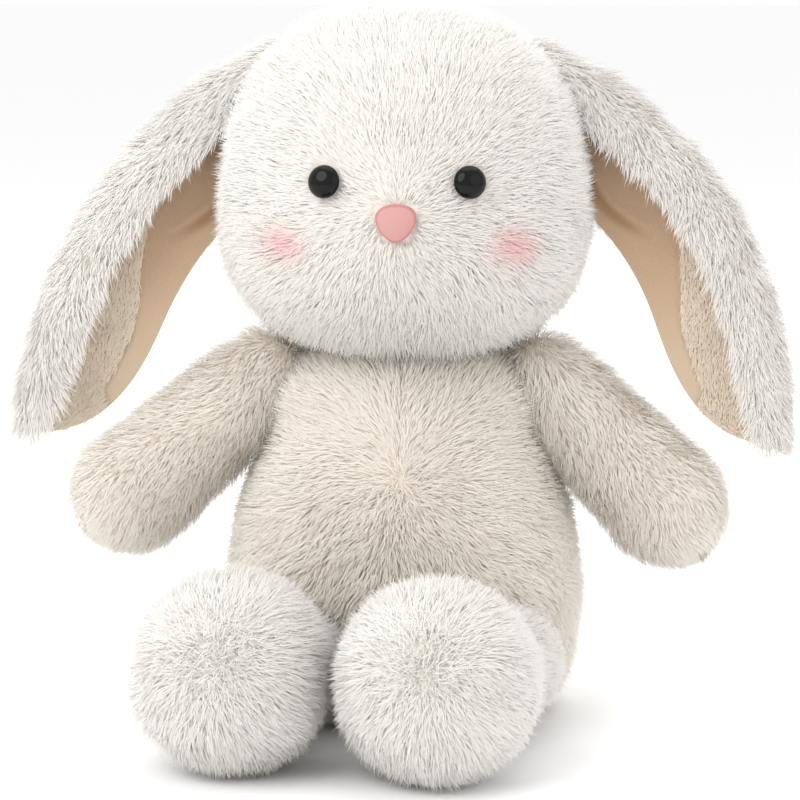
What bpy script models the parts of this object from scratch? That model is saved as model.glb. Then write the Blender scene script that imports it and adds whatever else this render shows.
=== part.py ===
"""Seated stuffed bunny rabbit: plush panels over stuffing, with soft joints at neck, ears, shoulders and hips.

Frame: +Z up, the bunny faces -Y, and its own left side is +X. The origin is the middle of the flat seat.
Every plush panel is one thin solid that takes in the knitted backing and its laid pile.
"""

import math

import bmesh
import bpy
from mathutils import Matrix, Vector

# Fabrics and fits
PLUSH = 0.0045  # backing plus laid pile
LINING = 0.0016  # short velour inside the ears
SEAM_GAP = 0.0004  # between two panels that share a seam
FIT_GAP = 0.0004  # between a panel and what it wraps
SWING_GAP = 0.0008  # between pieces that move past each other
POLE_RADIUS = 0.0022  # where the panels of a round form gather

# Head, measured from its widest level
HEAD_HALF_WIDTH = 0.0700
HEAD_HALF_DEPTH = 0.0590
HEAD_CROWN = 0.0820  # widest level to the top
HEAD_CHIN = 0.0500  # widest level to the underside
HEAD_ROUNDNESS = 2.5  # exponent of the upright outline, where 2 is an ellipse
HEAD_PLAN_ROUNDNESS = 2.15  # exponent of the level outline
MUZZLE_BULGE = 0.0060
MUZZLE_HALF_WIDTH = 0.0330
MUZZLE_HALF_HEIGHT = 0.0260
MUZZLE_DROP = 0.0080  # below the widest level
HEAD_OVER_PIVOT = 0.0520  # neck pivot to the head's widest level

# Neck: concentric balls about the neck pivot
NECK_RADIUS = 0.0275  # the torso's top
NECK_PAD = 0.0050  # stuffing between torso and head
NECK_SKIRT = math.radians(22)  # lower edge of that stuffing, above level

# Torso, from the seat to the neck pivot
TORSO_HEIGHT = 0.1380
TORSO_HALF_WIDTH = 0.0690
TORSO_FRONT = 0.0590
TORSO_BACK = 0.0530
TORSO_PROFILE = (  # share of height, then share of the largest half width and depth
    (0.000, 0.70, 0.70),
    (0.045, 0.84, 0.86),
    (0.150, 0.955, 0.96),
    (0.350, 1.00, 1.00),
    (0.540, 0.955, 0.93),
    (0.690, 0.850, 0.81),
    (0.820, 0.705, 0.70),
    (0.930, 0.560, 0.60),
)
TORSO_ROWS = (0, 0.035, 0.10, 0.22, 0.38, 0.54, 0.68, 0.80, 0.90)  # shares of the height
TORSO_PLAN_POWER = 0.94  # squares the level outline a little
NECK_RIM = 0.12  # the panels' top edge above the neck pivot, as a share of the neck's radius
POUCH_HALF_WIDTH = 0.0340
POUCH_HALF_DEPTH = 0.0200
POUCH_HEIGHT = 0.0240
POUCH_BACK = 0.0200  # centre of the pouch behind the seat's middle
POUCH_PROFILE = ((0.86, 0.0), (1.0, 0.35), (0.93, 0.72), (0.66, 0.94))  # width share, height share
TAIL_RADIUS = 0.0190
TAIL_HEIGHT = 0.0300
TAIL_STAND = 0.45  # centre behind the back, as a share of the radius

# Arms
ARM_ROOT_RADIUS = 0.0185
PAW_RADIUS = 0.0252
ARM_LENGTH = 0.0680  # shoulder centre to paw centre
ARM_DROOP = {"left": math.radians(44), "right": math.radians(40)}
ARM_LEAN = math.radians(13)  # towards the front
ARM_FLATNESS = 0.88  # front-to-back share of the width
SHOULDER_INSET = 0.0030  # shoulder centre inside the torso's side
SHOULDER_DROP = 0.0080  # below the neck pivot
ARM_TAPER = 0.7  # exponent of the growth from shoulder to paw
ARM_ROOT_ANGLES = (0.13, 0.55, 1.0)  # rings of the round shoulder, radians from its end
ARM_STATIONS = (0.10, 0.38, 0.68, 0.95)  # rings between, as shares of the length
PAW_ANGLES = (0.4, 0.8, 1.15, 1.46)  # rings of the round paw, radians from its widest ring
ARM_SWING = (-8, 52)

# Legs
HIP_RADIUS = 0.0240
SHIN_RADIUS = 0.0225
FOOT_RADIUS = 0.0362
LEG_LENGTH = 0.0780  # hip centre to foot centre
LEG_TOE_TURN = math.radians(14.5)  # both legs point this far towards the bunny's right
HIP_HEIGHT = 0.0270
HIP_FORWARD = 0.0400
LEG_LEAD = {"left": 0.0060, "right": -0.0060}  # the left leg sits a little further forward
FOOT_SPLIT = 0.0020  # free space between the feet
LEG_ROOT_ANGLES = (0.1, 0.55, 1.0)
LEG_STATIONS = ((0.12, 0.0), (0.36, 0.8))  # share of the length, share of the change from hip to shin
THROAT_RAISE = 0.0010  # the foot starts this much wider than the shin
SOLE_ANGLE = math.radians(52)  # edge of the foot panel, from the foot's equator
SOLE_STEPS = 4  # rows from the throat to the foot panel
TOE_ANGLES = (1.2, 1.5)  # rings under the foot panel
LEG_SWING = (0, 24)

# Ears: the outer edge follows an arc out and down from the head
EAR_LENGTH = 0.1900
EAR_TAKEN_UP = {"left": 0.0, "right": 0.0060}  # length lost in the gather at the root
EAR_ARC_RADIUS = {"left": 0.1530, "right": 0.1880}
EAR_START = {"left": math.radians(25), "right": math.radians(30)}  # first direction, below level
EAR_FRONT_FOLD = 0.0170  # reach of the front fold towards the head
EAR_BACK_FOLD = 0.0425  # reach of the back fold
EAR_HALF_DEPTH = 0.0085  # half the space between the folds
EAR_OUT = 0.0120  # start of the arc outside the crown
EAR_DROP = 0.0170  # start of the arc below the crown
EAR_BEHIND = 0.0110  # ear's middle behind the neck pivot
EAR_TUCK = 0.0240  # length run past the arc's start towards the head
EAR_ROOT_SHARE = 0.80  # width at the root, as a share of the full width
EAR_ROOT_RUN = 0.25  # share of the length over which the ear widens
EAR_ROUND_START = 0.62  # share of the length where the rounded end begins
EAR_END_POWERS = (2.5, 0.4)  # exponents of the rounded end's outline
EAR_FLAT_SHARE = 0.35  # depth that is left where the width runs out
EAR_ROWS = 12
EAR_COLUMNS = 4  # facets across each half of the width
EAR_END = 0.998  # last row, as a share of the length
EAR_LIFTS = 4  # steps of the lift at which the root is trimmed
EAR_HINGE_SHARE = 0.35  # the hinge is this share of the tuck back from the arc's start
EAR_SWING = (0, 50)

# Face
EYE_RADIUS = 0.0062
EYE_DOME = 0.0046
EYE_SPREAD = 0.0265  # each eye's centre from the middle
EYE_RISE = 0.0185  # above the head's widest level
SHANK_RADIUS = 0.0022
EYE_LIP = 0.0004  # height of the dome's edge
EYE_UNDERCUT = 0.0003
SHANK_LENGTH = 0.0120
WASHER_RADIUS = 0.0062
WASHER_THICKNESS = 0.0015
WASHER_GAP = 0.0016  # the washer is flat and the fabric in front of it curves
NOSE_HALF_WIDTH = 0.0088
NOSE_HEIGHT = 0.0135
NOSE_PUFF = 0.0032
NOSE_EDGE = 0.0010
NOSE_RISE = 0.0040  # nose centre above the head's widest level
NOSE_NARROWING = 0.30  # loss of width from top to bottom
NOSE_CORNERS = 0.86  # exponent that squares the outline a little
NOSE_LEVELS = (1.0, 0.8, 0.5)  # outlines from the edge inwards
NOSE_CROWN_POWER = 2.2

SIDES = {"left": 1, "right": -1}
COLUMNS = 5  # facets across a quarter of a round form
LIMB_COLUMNS = 4  # the same on the limbs
BALL_STEPS = 4  # rows from the edge to the pole of a dome
SWING_SIDES = 14  # sides of the space that a limb sweeps
CUTTER_REACH = 0.0040  # how far a cutter stands out of what it cuts
SHARP_ANGLE = math.radians(40)
NECK_PIVOT = Vector((0, 0, TORSO_HEIGHT))
HEAD_LEVEL = TORSO_HEIGHT + HEAD_OVER_PIVOT
TORSO_TOP = TORSO_HEIGHT + NECK_RIM * NECK_RADIUS

COLOURS = {  # red, green, blue, roughness
    "white_plush": (0.83, 0.80, 0.77, 0.95),
    "cream_plush": (0.76, 0.69, 0.60, 0.95),
    "velour": (0.74, 0.54, 0.40, 0.90),
    "pink_velvet": (0.78, 0.35, 0.34, 0.85),
    "black_eye": (0.010, 0.009, 0.009, 0.08),
    "washer_plastic": (0.80, 0.80, 0.78, 0.45),
    "fibre_fill": (0.86, 0.86, 0.84, 1.00),
    "pouch_cotton": (0.72, 0.68, 0.60, 0.95),
}


def signed_power(value, power):
    return math.copysign(abs(value) ** power, value)


def mix(a, b, share):
    return a + (b - a) * share


def material(name):
    found = bpy.data.materials.get(name)
    if found:
        return found
    red, green, blue, roughness = COLOURS[name]
    made = bpy.data.materials.new(name)
    made.use_nodes = True
    shader = made.node_tree.nodes["Principled BSDF"]
    shader.inputs["Base Color"].default_value = (red, green, blue, 1)
    shader.inputs["Roughness"].default_value = roughness
    shader.inputs["Metallic"].default_value = 0
    made.diffuse_color = (red, green, blue, 1)
    return made


def body_empty(name, place, parent=None):
    """An empty on a joint's axis, which the pieces of that body hang from."""
    empty = bpy.data.objects.new("body_" + name, None)
    empty["place"] = tuple(place)
    empty.parent = parent
    empty.location = Vector(place) - (Vector(parent["place"]) if parent else Vector())
    empty.empty_display_size = 0.02
    bpy.context.collection.objects.link(empty)
    return empty


def make_object(name, points, faces, body, finish):
    """A closed mesh from points in the bunny's frame, with its origin on its body's joint."""
    place = Vector(body["place"])
    mesh = bpy.data.meshes.new(name)
    mesh.from_pydata([Vector(p) - place for p in points], [], faces)
    work = bmesh.new()
    work.from_mesh(mesh)
    bmesh.ops.recalc_face_normals(work, faces=work.faces)
    work.to_mesh(mesh)
    work.free()
    obj = bpy.data.objects.new(name, mesh)
    obj.parent = body
    bpy.context.collection.objects.link(obj)
    mesh.materials.append(material(finish))
    mesh.shade_smooth()
    mesh.set_sharp_from_angle(angle=SHARP_ANGLE)
    return obj


def panel(name, outer, inner, body, finish):
    """A thin sheet between two grids of points, closed round its edge."""
    rows, columns = len(outer), len(outer[0])
    points = [p for row in outer for p in row] + [p for row in inner for p in row]
    under = rows * columns
    faces = []
    for r in range(rows - 1):
        for c in range(columns - 1):
            a = r * columns + c
            quad = (a, a + 1, a + columns + 1, a + columns)
            faces.append(quad)
            faces.append(tuple(i + under for i in reversed(quad)))
    rim = [c for c in range(columns)]
    rim += [r * columns + columns - 1 for r in range(1, rows)]
    rim += [(rows - 1) * columns + c for c in range(columns - 2, -1, -1)]
    rim += [r * columns for r in range(rows - 2, 0, -1)]
    for a, b in zip(rim, rim[1:] + rim[:1]):
        faces.append((b, a, a + under, b + under))
    return make_object(name, points, faces, body, finish)


def closed_form(name, rings, first, last, body, finish):
    """A solid of stacked rings between two end points."""
    count = len(rings[0])
    points = [p for ring in rings for p in ring] + [first, last]
    faces = []
    for r in range(len(rings) - 1):
        for c in range(count):
            a, b = r * count + c, r * count + (c + 1) % count
            faces.append((a, b, b + count, a + count))
    top = (len(rings) - 1) * count
    for c in range(count):
        d = (c + 1) % count
        faces.append((len(points) - 2, d, c))
        faces.append((len(points) - 1, top + c, top + d))
    return make_object(name, points, faces, body, finish)


def inset(grid, rows, columns, gap=SEAM_GAP / 2):
    """Draws the chosen edges of a grid in by half a seam gap. rows and columns are (first, last)."""
    made = [[p.copy() for p in row] for row in grid]
    for chosen, edge, beside in ((rows[0], 0, 1), (rows[1], -1, -2)):
        if chosen:
            for c, p in enumerate(grid[edge]):
                made[edge][c] += (grid[beside][c] - p).normalized() * gap
    for chosen, edge, beside in ((columns[0], 0, 1), (columns[1], -1, -2)):
        if chosen:
            for r, row in enumerate(grid):
                made[r][edge] += (row[beside] - row[edge]).normalized() * gap
    return made


def gore(name, form, turns, rises, body, finish, rows=(False, False), columns=(True, True)):
    """A panel of a round form between two turns, PLUSH thick. form(turn, rise, depth) gives its points."""
    grids = [
        inset([[form(turn, rise, depth) for turn in turns] for rise in rises], rows, columns)
        for depth in (0, PLUSH)
    ]
    return panel(name, grids[0], grids[1], body, finish)


def quarter_turns(first, quarters, columns=COLUMNS):
    """Turns across so many quarters of a circle, as shares of the whole."""
    steps = columns * quarters
    return [first + 0.25 * quarters * i / steps for i in range(steps + 1)]


def ring(form, rise, depth, count):
    return [form(i / count, rise, depth) for i in range(count)]


def cut(target, cutter):
    modifier = target.modifiers.new("cut_" + cutter.name, "BOOLEAN")
    modifier.operation = "DIFFERENCE"
    modifier.solver = "EXACT"
    modifier.object = cutter


def as_cutter(obj):
    obj.hide_render = True
    obj.display_type = "WIRE"
    return obj


def ball(name, centre, radius, body, finish, segments=20, rings=12):
    mesh = bpy.data.meshes.new(name)
    work = bmesh.new()
    bmesh.ops.create_uvsphere(work, u_segments=segments, v_segments=rings, radius=radius)
    bmesh.ops.translate(work, verts=work.verts, vec=Vector(centre) - Vector(body["place"]))
    work.to_mesh(mesh)
    work.free()
    mesh.materials.append(material(finish))
    mesh.shade_smooth()
    obj = bpy.data.objects.new(name, mesh)
    obj.parent = body
    bpy.context.collection.objects.link(obj)
    return obj


def hull(name, points, body, finish):
    place = Vector(body["place"])
    mesh = bpy.data.meshes.new(name)
    work = bmesh.new()
    for p in points:
        work.verts.new(p - place)
    bmesh.ops.convex_hull(work, input=work.verts)
    loose = [v for v in work.verts if not v.link_faces]
    bmesh.ops.delete(work, geom=loose, context="VERTS")
    work.to_mesh(mesh)
    work.free()
    mesh.materials.append(material(finish))
    obj = bpy.data.objects.new(name, mesh)
    obj.parent = body
    bpy.context.collection.objects.link(obj)
    return obj


# ---------------------------------------------------------------- head


def head_form(turn, rise, depth=0.0):
    """A point of the head's outline. turn 0 is the bunny's left, 0.25 its front; rise 0 is the underside."""
    level = math.pi * (rise - 0.5)
    power = 2 / HEAD_ROUNDNESS
    half = (HEAD_CROWN if level > 0 else HEAD_CHIN) - depth
    z = half * signed_power(math.sin(level), power)
    reach = max(math.cos(level), 0) ** power
    around = math.tau * turn
    plan = 2 / HEAD_PLAN_ROUNDNESS
    x = (HEAD_HALF_WIDTH - depth) * reach * signed_power(math.cos(around), plan)
    y = -(HEAD_HALF_DEPTH - depth) * reach * signed_power(math.sin(around), plan)
    if y < 0:
        spread = (x / MUZZLE_HALF_WIDTH) ** 2 + ((z + MUZZLE_DROP) / MUZZLE_HALF_HEIGHT) ** 2
        y -= MUZZLE_BULGE * math.exp(-spread) * min(1.0, -y / (0.5 * HEAD_HALF_DEPTH))
    return Vector((x, y, HEAD_LEVEL + z))


def face_front(x, z, depth=0.0):
    """y of the head's front at a place on the face."""
    half = (HEAD_CROWN if z > HEAD_LEVEL else HEAD_CHIN) - depth
    reach = (1 - min(1, abs((z - HEAD_LEVEL) / half)) ** HEAD_ROUNDNESS) ** (1 / HEAD_ROUNDNESS)
    across = min(1, abs(x / ((HEAD_HALF_WIDTH - depth) * reach)))
    share = (1 - across**HEAD_PLAN_ROUNDNESS) ** (1 / HEAD_PLAN_ROUNDNESS)
    spread = (x / MUZZLE_HALF_WIDTH) ** 2 + ((z - HEAD_LEVEL + MUZZLE_DROP) / MUZZLE_HALF_HEIGHT) ** 2
    return -(HEAD_HALF_DEPTH - depth) * reach * share - MUZZLE_BULGE * math.exp(-spread)


def face_frame(x, z):
    """A frame on the face: its origin on the head's front, its +Z along the outward normal."""
    step = 0.0015
    here = Vector((x, face_front(x, z), z))
    along = Vector((2 * step, face_front(x + step, z) - face_front(x - step, z), 0)).normalized()
    up = Vector((0, face_front(x, z + step) - face_front(x, z - step), 2 * step)).normalized()
    out = along.cross(up).normalized()
    up = out.cross(along)
    frame = Matrix((along, up, out)).transposed().to_4x4()
    frame.translation = here
    return frame


def head_rises(rows=10):
    edge = 0.5 - math.asin((POLE_RADIUS / HEAD_HALF_WIDTH) ** (HEAD_ROUNDNESS / 2)) / math.pi
    return [0.5 + edge * (2 * i / rows - 1) for i in range(rows + 1)]


def build_head(body):
    rises = head_rises()
    parts = {}
    for name, first in (("back_of_head_left", 0.75), ("face_left", 0.0),
                        ("face_right", 0.25), ("back_of_head_right", 0.5)):
        turns = quarter_turns(first, 1)
        parts[name] = gore(name, head_form, turns, rises, body, "white_plush")
    inside = PLUSH + FIT_GAP
    rings = [ring(head_form, rise, inside, 4 * COLUMNS) for rise in rises[1:-1]]
    parts["head_stuffing"] = closed_form(
        "head_stuffing", rings, head_form(0, 0, inside), head_form(0, 1, inside), body, "fibre_fill")
    socket = as_cutter(ball("neck_socket_cutter", NECK_PIVOT, NECK_RADIUS + NECK_PAD + SWING_GAP,
                            body, "fibre_fill"))
    for obj in parts.values():
        cut(obj, socket)
    return parts


def turned(name, profile, frame, body, finish, segments=14):
    """A solid of revolution about the frame's Z. profile runs from axis to axis, or closes on itself."""
    points, faces = [], []
    on_axis = profile[0][0] == 0
    body_rows = profile[1:-1] if on_axis else profile
    for radius, height in body_rows:
        for i in range(segments):
            angle = math.tau * i / segments
            points.append(frame @ Vector((radius * math.cos(angle), radius * math.sin(angle), height)))
    rows = len(body_rows)
    pairs = [(r, r + 1) for r in range(rows - 1)]
    if not on_axis:
        pairs.append((rows - 1, 0))
    for low, high in pairs:
        for i in range(segments):
            j = (i + 1) % segments
            faces.append((low * segments + i, low * segments + j, high * segments + j, high * segments + i))
    if on_axis:
        points.append(frame @ Vector((0, 0, profile[0][1])))
        points.append(frame @ Vector((0, 0, profile[-1][1])))
        for i in range(segments):
            j = (i + 1) % segments
            faces.append((len(points) - 2, j, i))
            faces.append((len(points) - 1, (rows - 1) * segments + i, (rows - 1) * segments + j))
    return make_object(name, points, faces, body, finish)


def build_eye(side, body, head):
    """A safety eye: a glossy dome on the fabric, a shank through it and a washer locked on behind."""
    frame = face_frame(SIDES[side] * EYE_SPREAD, HEAD_LEVEL + EYE_RISE)
    seat = FIT_GAP
    dome = [(0, seat + EYE_DOME)]
    for i in range(1, BALL_STEPS + 1):
        angle = 0.5 * math.pi * i / (BALL_STEPS + 1)
        dome.append((EYE_RADIUS * math.sin(angle), seat + EYE_DOME * math.cos(angle)))
    dome += [(EYE_RADIUS, seat + EYE_LIP), (EYE_RADIUS - EYE_UNDERCUT, seat)]
    dome += [(SHANK_RADIUS, seat), (SHANK_RADIUS, -SHANK_LENGTH), (0, -SHANK_LENGTH)]
    turned("eye_" + side, dome, frame, body, "black_eye")
    back = -PLUSH - WASHER_GAP
    bore = SHANK_RADIUS + FIT_GAP
    washer = [(bore, back), (WASHER_RADIUS, back), (WASHER_RADIUS, back - WASHER_THICKNESS),
              (bore, back - WASHER_THICKNESS)]
    turned("eye_washer_" + side, washer, frame, body, "washer_plastic")
    hole = [(0, CUTTER_REACH), (bore, CUTTER_REACH), (bore, -2 * PLUSH), (0, -2 * PLUSH)]
    cutter = as_cutter(turned("eye_hole_cutter_" + side, hole, frame, body, "fibre_fill"))
    cut(head["face_" + side], cutter)
    room = WASHER_RADIUS + FIT_GAP
    depth = back - WASHER_THICKNESS - FIT_GAP
    end = -SHANK_LENGTH - FIT_GAP
    pocket = [(0, CUTTER_REACH), (room, CUTTER_REACH), (room, depth), (bore, depth), (bore, end), (0, end)]
    cut(head["head_stuffing"], as_cutter(
        turned("eye_pocket_cutter_" + side, pocket, frame, body, "fibre_fill")))


def nose_outline(share):
    """Outline of the rounded triangular nose, wide at the top. share runs once round."""
    angle = math.tau * share
    narrow = 1 - NOSE_NARROWING * (0.5 - 0.5 * math.sin(angle))
    x = NOSE_HALF_WIDTH * signed_power(math.cos(angle), NOSE_CORNERS) * narrow
    return x, 0.5 * NOSE_HEIGHT * math.sin(angle)


def build_nose(body):
    """A small padded velvet nose sewn onto the face over the middle seam."""
    count = 4 * COLUMNS
    middle = HEAD_LEVEL + NOSE_RISE
    front, back = [], []
    for share in NOSE_LEVELS:
        puff = NOSE_EDGE + NOSE_PUFF * (1 - share**NOSE_CROWN_POWER)
        for grid, lift in ((front, FIT_GAP + puff), (back, FIT_GAP)):
            outline = [nose_outline(i / count) for i in range(count)]
            grid.append([
                Vector((x * share, face_front(x * share, middle + z * share) - lift, middle + z * share))
                for x, z in outline
            ])
    tip = Vector((0, face_front(0, middle) - FIT_GAP - NOSE_EDGE - NOSE_PUFF, middle))
    root = Vector((0, face_front(0, middle) - FIT_GAP, middle))
    rings = list(reversed(front)) + back
    closed_form("nose", rings, tip, root, body, "pink_velvet")


# ---------------------------------------------------------------- neck and torso


def build_neck(body):
    """Stuffing packed in the neck opening, a bowl between the torso's top and the head."""
    inner, outer = NECK_RADIUS + SWING_GAP, NECK_RADIUS + NECK_PAD
    angles = [mix(NECK_SKIRT, 0.5 * math.pi, i / BALL_STEPS) for i in range(BALL_STEPS + 1)]
    profile = [(0, inner)]
    profile += [(inner * math.cos(a), inner * math.sin(a)) for a in reversed(angles[:-1])]
    profile += [(outer * math.cos(a), outer * math.sin(a)) for a in angles[:-1]]
    profile += [(0, outer)]
    turned("neck_stuffing", profile, Matrix.Translation(NECK_PIVOT), body, "fibre_fill", 4 * COLUMNS)


def torso_size(height):
    """Half width, front depth and back depth at a height, by smooth steps between the profile's stations."""
    share = height / TORSO_HEIGHT
    sizes = [(s, w * TORSO_HALF_WIDTH, d * TORSO_FRONT, d * TORSO_BACK) for s, w, d in TORSO_PROFILE]
    sizes.append((TORSO_TOP / TORSO_HEIGHT, NECK_RADIUS, NECK_RADIUS, NECK_RADIUS))
    for i in range(len(sizes) - 1):
        if share <= sizes[i + 1][0]:
            break
    before, a, b = sizes[max(i - 1, 0)], sizes[i], sizes[i + 1]
    after = sizes[min(i + 2, len(sizes) - 1)]
    t = (share - a[0]) / (b[0] - a[0])
    found = []
    for k in (1, 2, 3):
        span = b[0] - a[0]
        slope_a = span * (b[k] - before[k]) / (b[0] - before[0]) if before is not a else b[k] - a[k]
        slope_b = span * (after[k] - a[k]) / (after[0] - a[0])
        found.append((2 * t**3 - 3 * t**2 + 1) * a[k] + (t**3 - 2 * t**2 + t) * slope_a
                     + (3 * t**2 - 2 * t**3) * b[k] + (t**3 - t**2) * slope_b)
    return found


def torso_form(turn, rise, depth=0.0):
    """A point of the torso's side. turn 0 is the bunny's left, 0.25 its front; rise is the height."""
    width, front, back = torso_size(rise)
    around = math.tau * turn
    deep = front if math.sin(around) > 0 else back
    return Vector((
        (width - depth) * signed_power(math.cos(around), TORSO_PLAN_POWER),
        -(deep - depth) * signed_power(math.sin(around), TORSO_PLAN_POWER),
        rise,
    ))


def torso_heights():
    return [s * TORSO_HEIGHT for s in TORSO_ROWS] + [TORSO_TOP]


def build_torso(body):
    heights = torso_heights()
    parts = {}
    for name, first in (("back_left", 0.75), ("belly_left", 0.0), ("belly_right", 0.25), ("back_right", 0.5)):
        parts[name] = gore(name, torso_form, quarter_turns(first, 1), heights, body, "cream_plush")
    # The seat is a flat panel inside the lower edge of the four side panels.
    inside = PLUSH + 2 * FIT_GAP
    count = 4 * COLUMNS
    floor = [[torso_form(i / count, 0, inside) for i in range(count)]]
    floor.append([p + Vector((0, 0, PLUSH)) for p in floor[0]])
    parts["seat_panel"] = closed_form(
        "seat_panel", floor, Vector((0, 0, 0)), Vector((0, 0, PLUSH)), body, "cream_plush")
    # The stuffing fills the side panels and stands out of the neck opening as a ball.
    bottom = PLUSH + FIT_GAP
    levels = [bottom] + [h for h in heights[:-1] if h > bottom + PLUSH]
    rings = [ring(torso_form, h, inside, count) for h in levels]
    rim = heights[-1] + FIT_GAP
    rings.append([Vector((p.x, p.y, rim)) for p in ring(torso_form, heights[-1], inside, count)])
    core = NECK_RADIUS - FIT_GAP
    low = math.asin((rim + FIT_GAP - TORSO_HEIGHT) / core)
    for i in range(BALL_STEPS):
        angle = mix(low, 0.5 * math.pi, i / BALL_STEPS)
        rings.append([
            NECK_PIVOT + Vector((
                core * math.cos(angle) * math.cos(math.tau * c / count),
                -core * math.cos(angle) * math.sin(math.tau * c / count),
                core * math.sin(angle),
            ))
            for c in range(count)
        ])
    parts["torso_stuffing"] = closed_form(
        "torso_stuffing", rings, Vector((0, 0, bottom)), NECK_PIVOT + Vector((0, 0, core)),
        body, "fibre_fill")
    build_pouch(body, parts["torso_stuffing"])
    return parts


def pouch_rings(grow):
    """Rings of a flat-bottomed pouch that lies on the seat panel, grown by a clearance."""
    bottom = PLUSH + FIT_GAP - (CUTTER_REACH if grow else 0)
    count = 4 * COLUMNS
    rows = []
    for share, height in POUCH_PROFILE:
        z = bottom if height == 0 else PLUSH + FIT_GAP + POUCH_HEIGHT * height + grow
        rows.append([
            Vector((
                (POUCH_HALF_WIDTH * share + grow) * math.cos(math.tau * i / count),
                POUCH_BACK + (POUCH_HALF_DEPTH * share + grow) * math.sin(math.tau * i / count),
                z,
            ))
            for i in range(count)
        ])
    first = Vector((0, POUCH_BACK, bottom))
    last = Vector((0, POUCH_BACK, PLUSH + FIT_GAP + POUCH_HEIGHT + grow))
    return rows, first, last


def build_pouch(body, stuffing):
    """A cotton pouch of pellets that weights the seat."""
    rows, first, last = pouch_rings(0)
    closed_form("pellet_pouch", rows, first, last, body, "pouch_cotton")
    rows, first, last = pouch_rings(FIT_GAP)
    cut(stuffing, as_cutter(closed_form("pouch_cutter", rows, first, last, body, "fibre_fill")))


def build_tail(body):
    """A pompom sewn to the lower back, flattened where it meets the back panels."""
    back = torso_size(TAIL_HEIGHT)[2]
    centre = Vector((0, back + TAIL_STAND * TAIL_RADIUS, TAIL_HEIGHT))
    tail = ball("tail", centre, TAIL_RADIUS, body, "white_plush", 16, 10)
    count = 4 * COLUMNS
    heights = torso_heights()
    rings = [ring(torso_form, h, -FIT_GAP, count) for h in heights]
    top = Vector((0, 0, TORSO_TOP + NECK_RADIUS))
    shape = closed_form("back_cutter", rings, Vector((0, 0, 0)), top, body, "fibre_fill")
    cut(tail, as_cutter(shape))


# ---------------------------------------------------------------- limbs


def limb_frame(start, direction):
    """Axes of a limb: Z along it, Y as level as it can be."""
    along = direction.normalized()
    side = along.cross(Vector((0, 0, 1))).normalized()
    up = side.cross(along)
    frame = Matrix((side, up, along)).transposed().to_4x4()
    frame.translation = start
    return frame


def limb_form(frame, profile, flatness=1.0):
    """form(turn, row, depth) of a limb whose profile(depth) lists its rings as (distance, radius)."""
    def form(turn, row, depth=0.0):
        distance, radius = profile(depth)[row]
        around = math.tau * turn
        return frame @ Vector((radius * flatness * math.cos(around), radius * math.sin(around), distance))
    return form


def arm_profile(depth=0.0):
    root, paw = ARM_ROOT_RADIUS - depth, PAW_RADIUS - depth
    rows = [(-root * math.cos(a), root * math.sin(a)) for a in ARM_ROOT_ANGLES]
    rows += [(ARM_LENGTH * s, mix(root, paw, s**ARM_TAPER)) for s in ARM_STATIONS]
    rows += [(ARM_LENGTH + paw * math.sin(a), paw * math.cos(a)) for a in PAW_ANGLES]
    return rows


def leg_profile(depth=0.0):
    hip, shin, foot = HIP_RADIUS - depth, SHIN_RADIUS - depth, FOOT_RADIUS - depth
    rows = [(-hip * math.cos(a), hip * math.sin(a)) for a in LEG_ROOT_ANGLES]
    rows += [(LEG_LENGTH * s, mix(hip, shin, change)) for s, change in LEG_STATIONS]
    throat = -math.acos((SHIN_RADIUS + THROAT_RAISE) / FOOT_RADIUS)
    angles = [mix(throat, SOLE_ANGLE, i / SOLE_STEPS) for i in range(SOLE_STEPS + 1)]
    angles += TOE_ANGLES
    rows += [(LEG_LENGTH + foot * math.sin(a), foot * math.cos(a)) for a in angles]
    return rows


def limb_end(frame, distance):
    return frame @ Vector((0, 0, distance))


def swing_room(name, form, rows, centre, angles, body):
    """The convex space that the root of a limb sweeps as it swings about X, grown by the swing gap."""
    points = []
    middle, half = 0.5 * (angles[0] + angles[1]), 0.5 * (angles[1] - angles[0])
    for share in (-1, -1 / 3, 1 / 3, 1):
        turn = Matrix.Rotation(math.radians(middle + share * half), 4, "X")
        around = Matrix.Translation(centre) @ turn @ Matrix.Translation(-centre)
        points += [
            around @ form(i / SWING_SIDES, row, -SWING_GAP) for row in rows for i in range(SWING_SIDES)
        ]
    return as_cutter(hull(name, points, body, "fibre_fill"))


def shoulder(side):
    z = TORSO_HEIGHT - SHOULDER_DROP
    width = torso_size(z)[0]
    return Vector((SIDES[side] * (width + ARM_ROOT_RADIUS - SHOULDER_INSET), 0, z))


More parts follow.
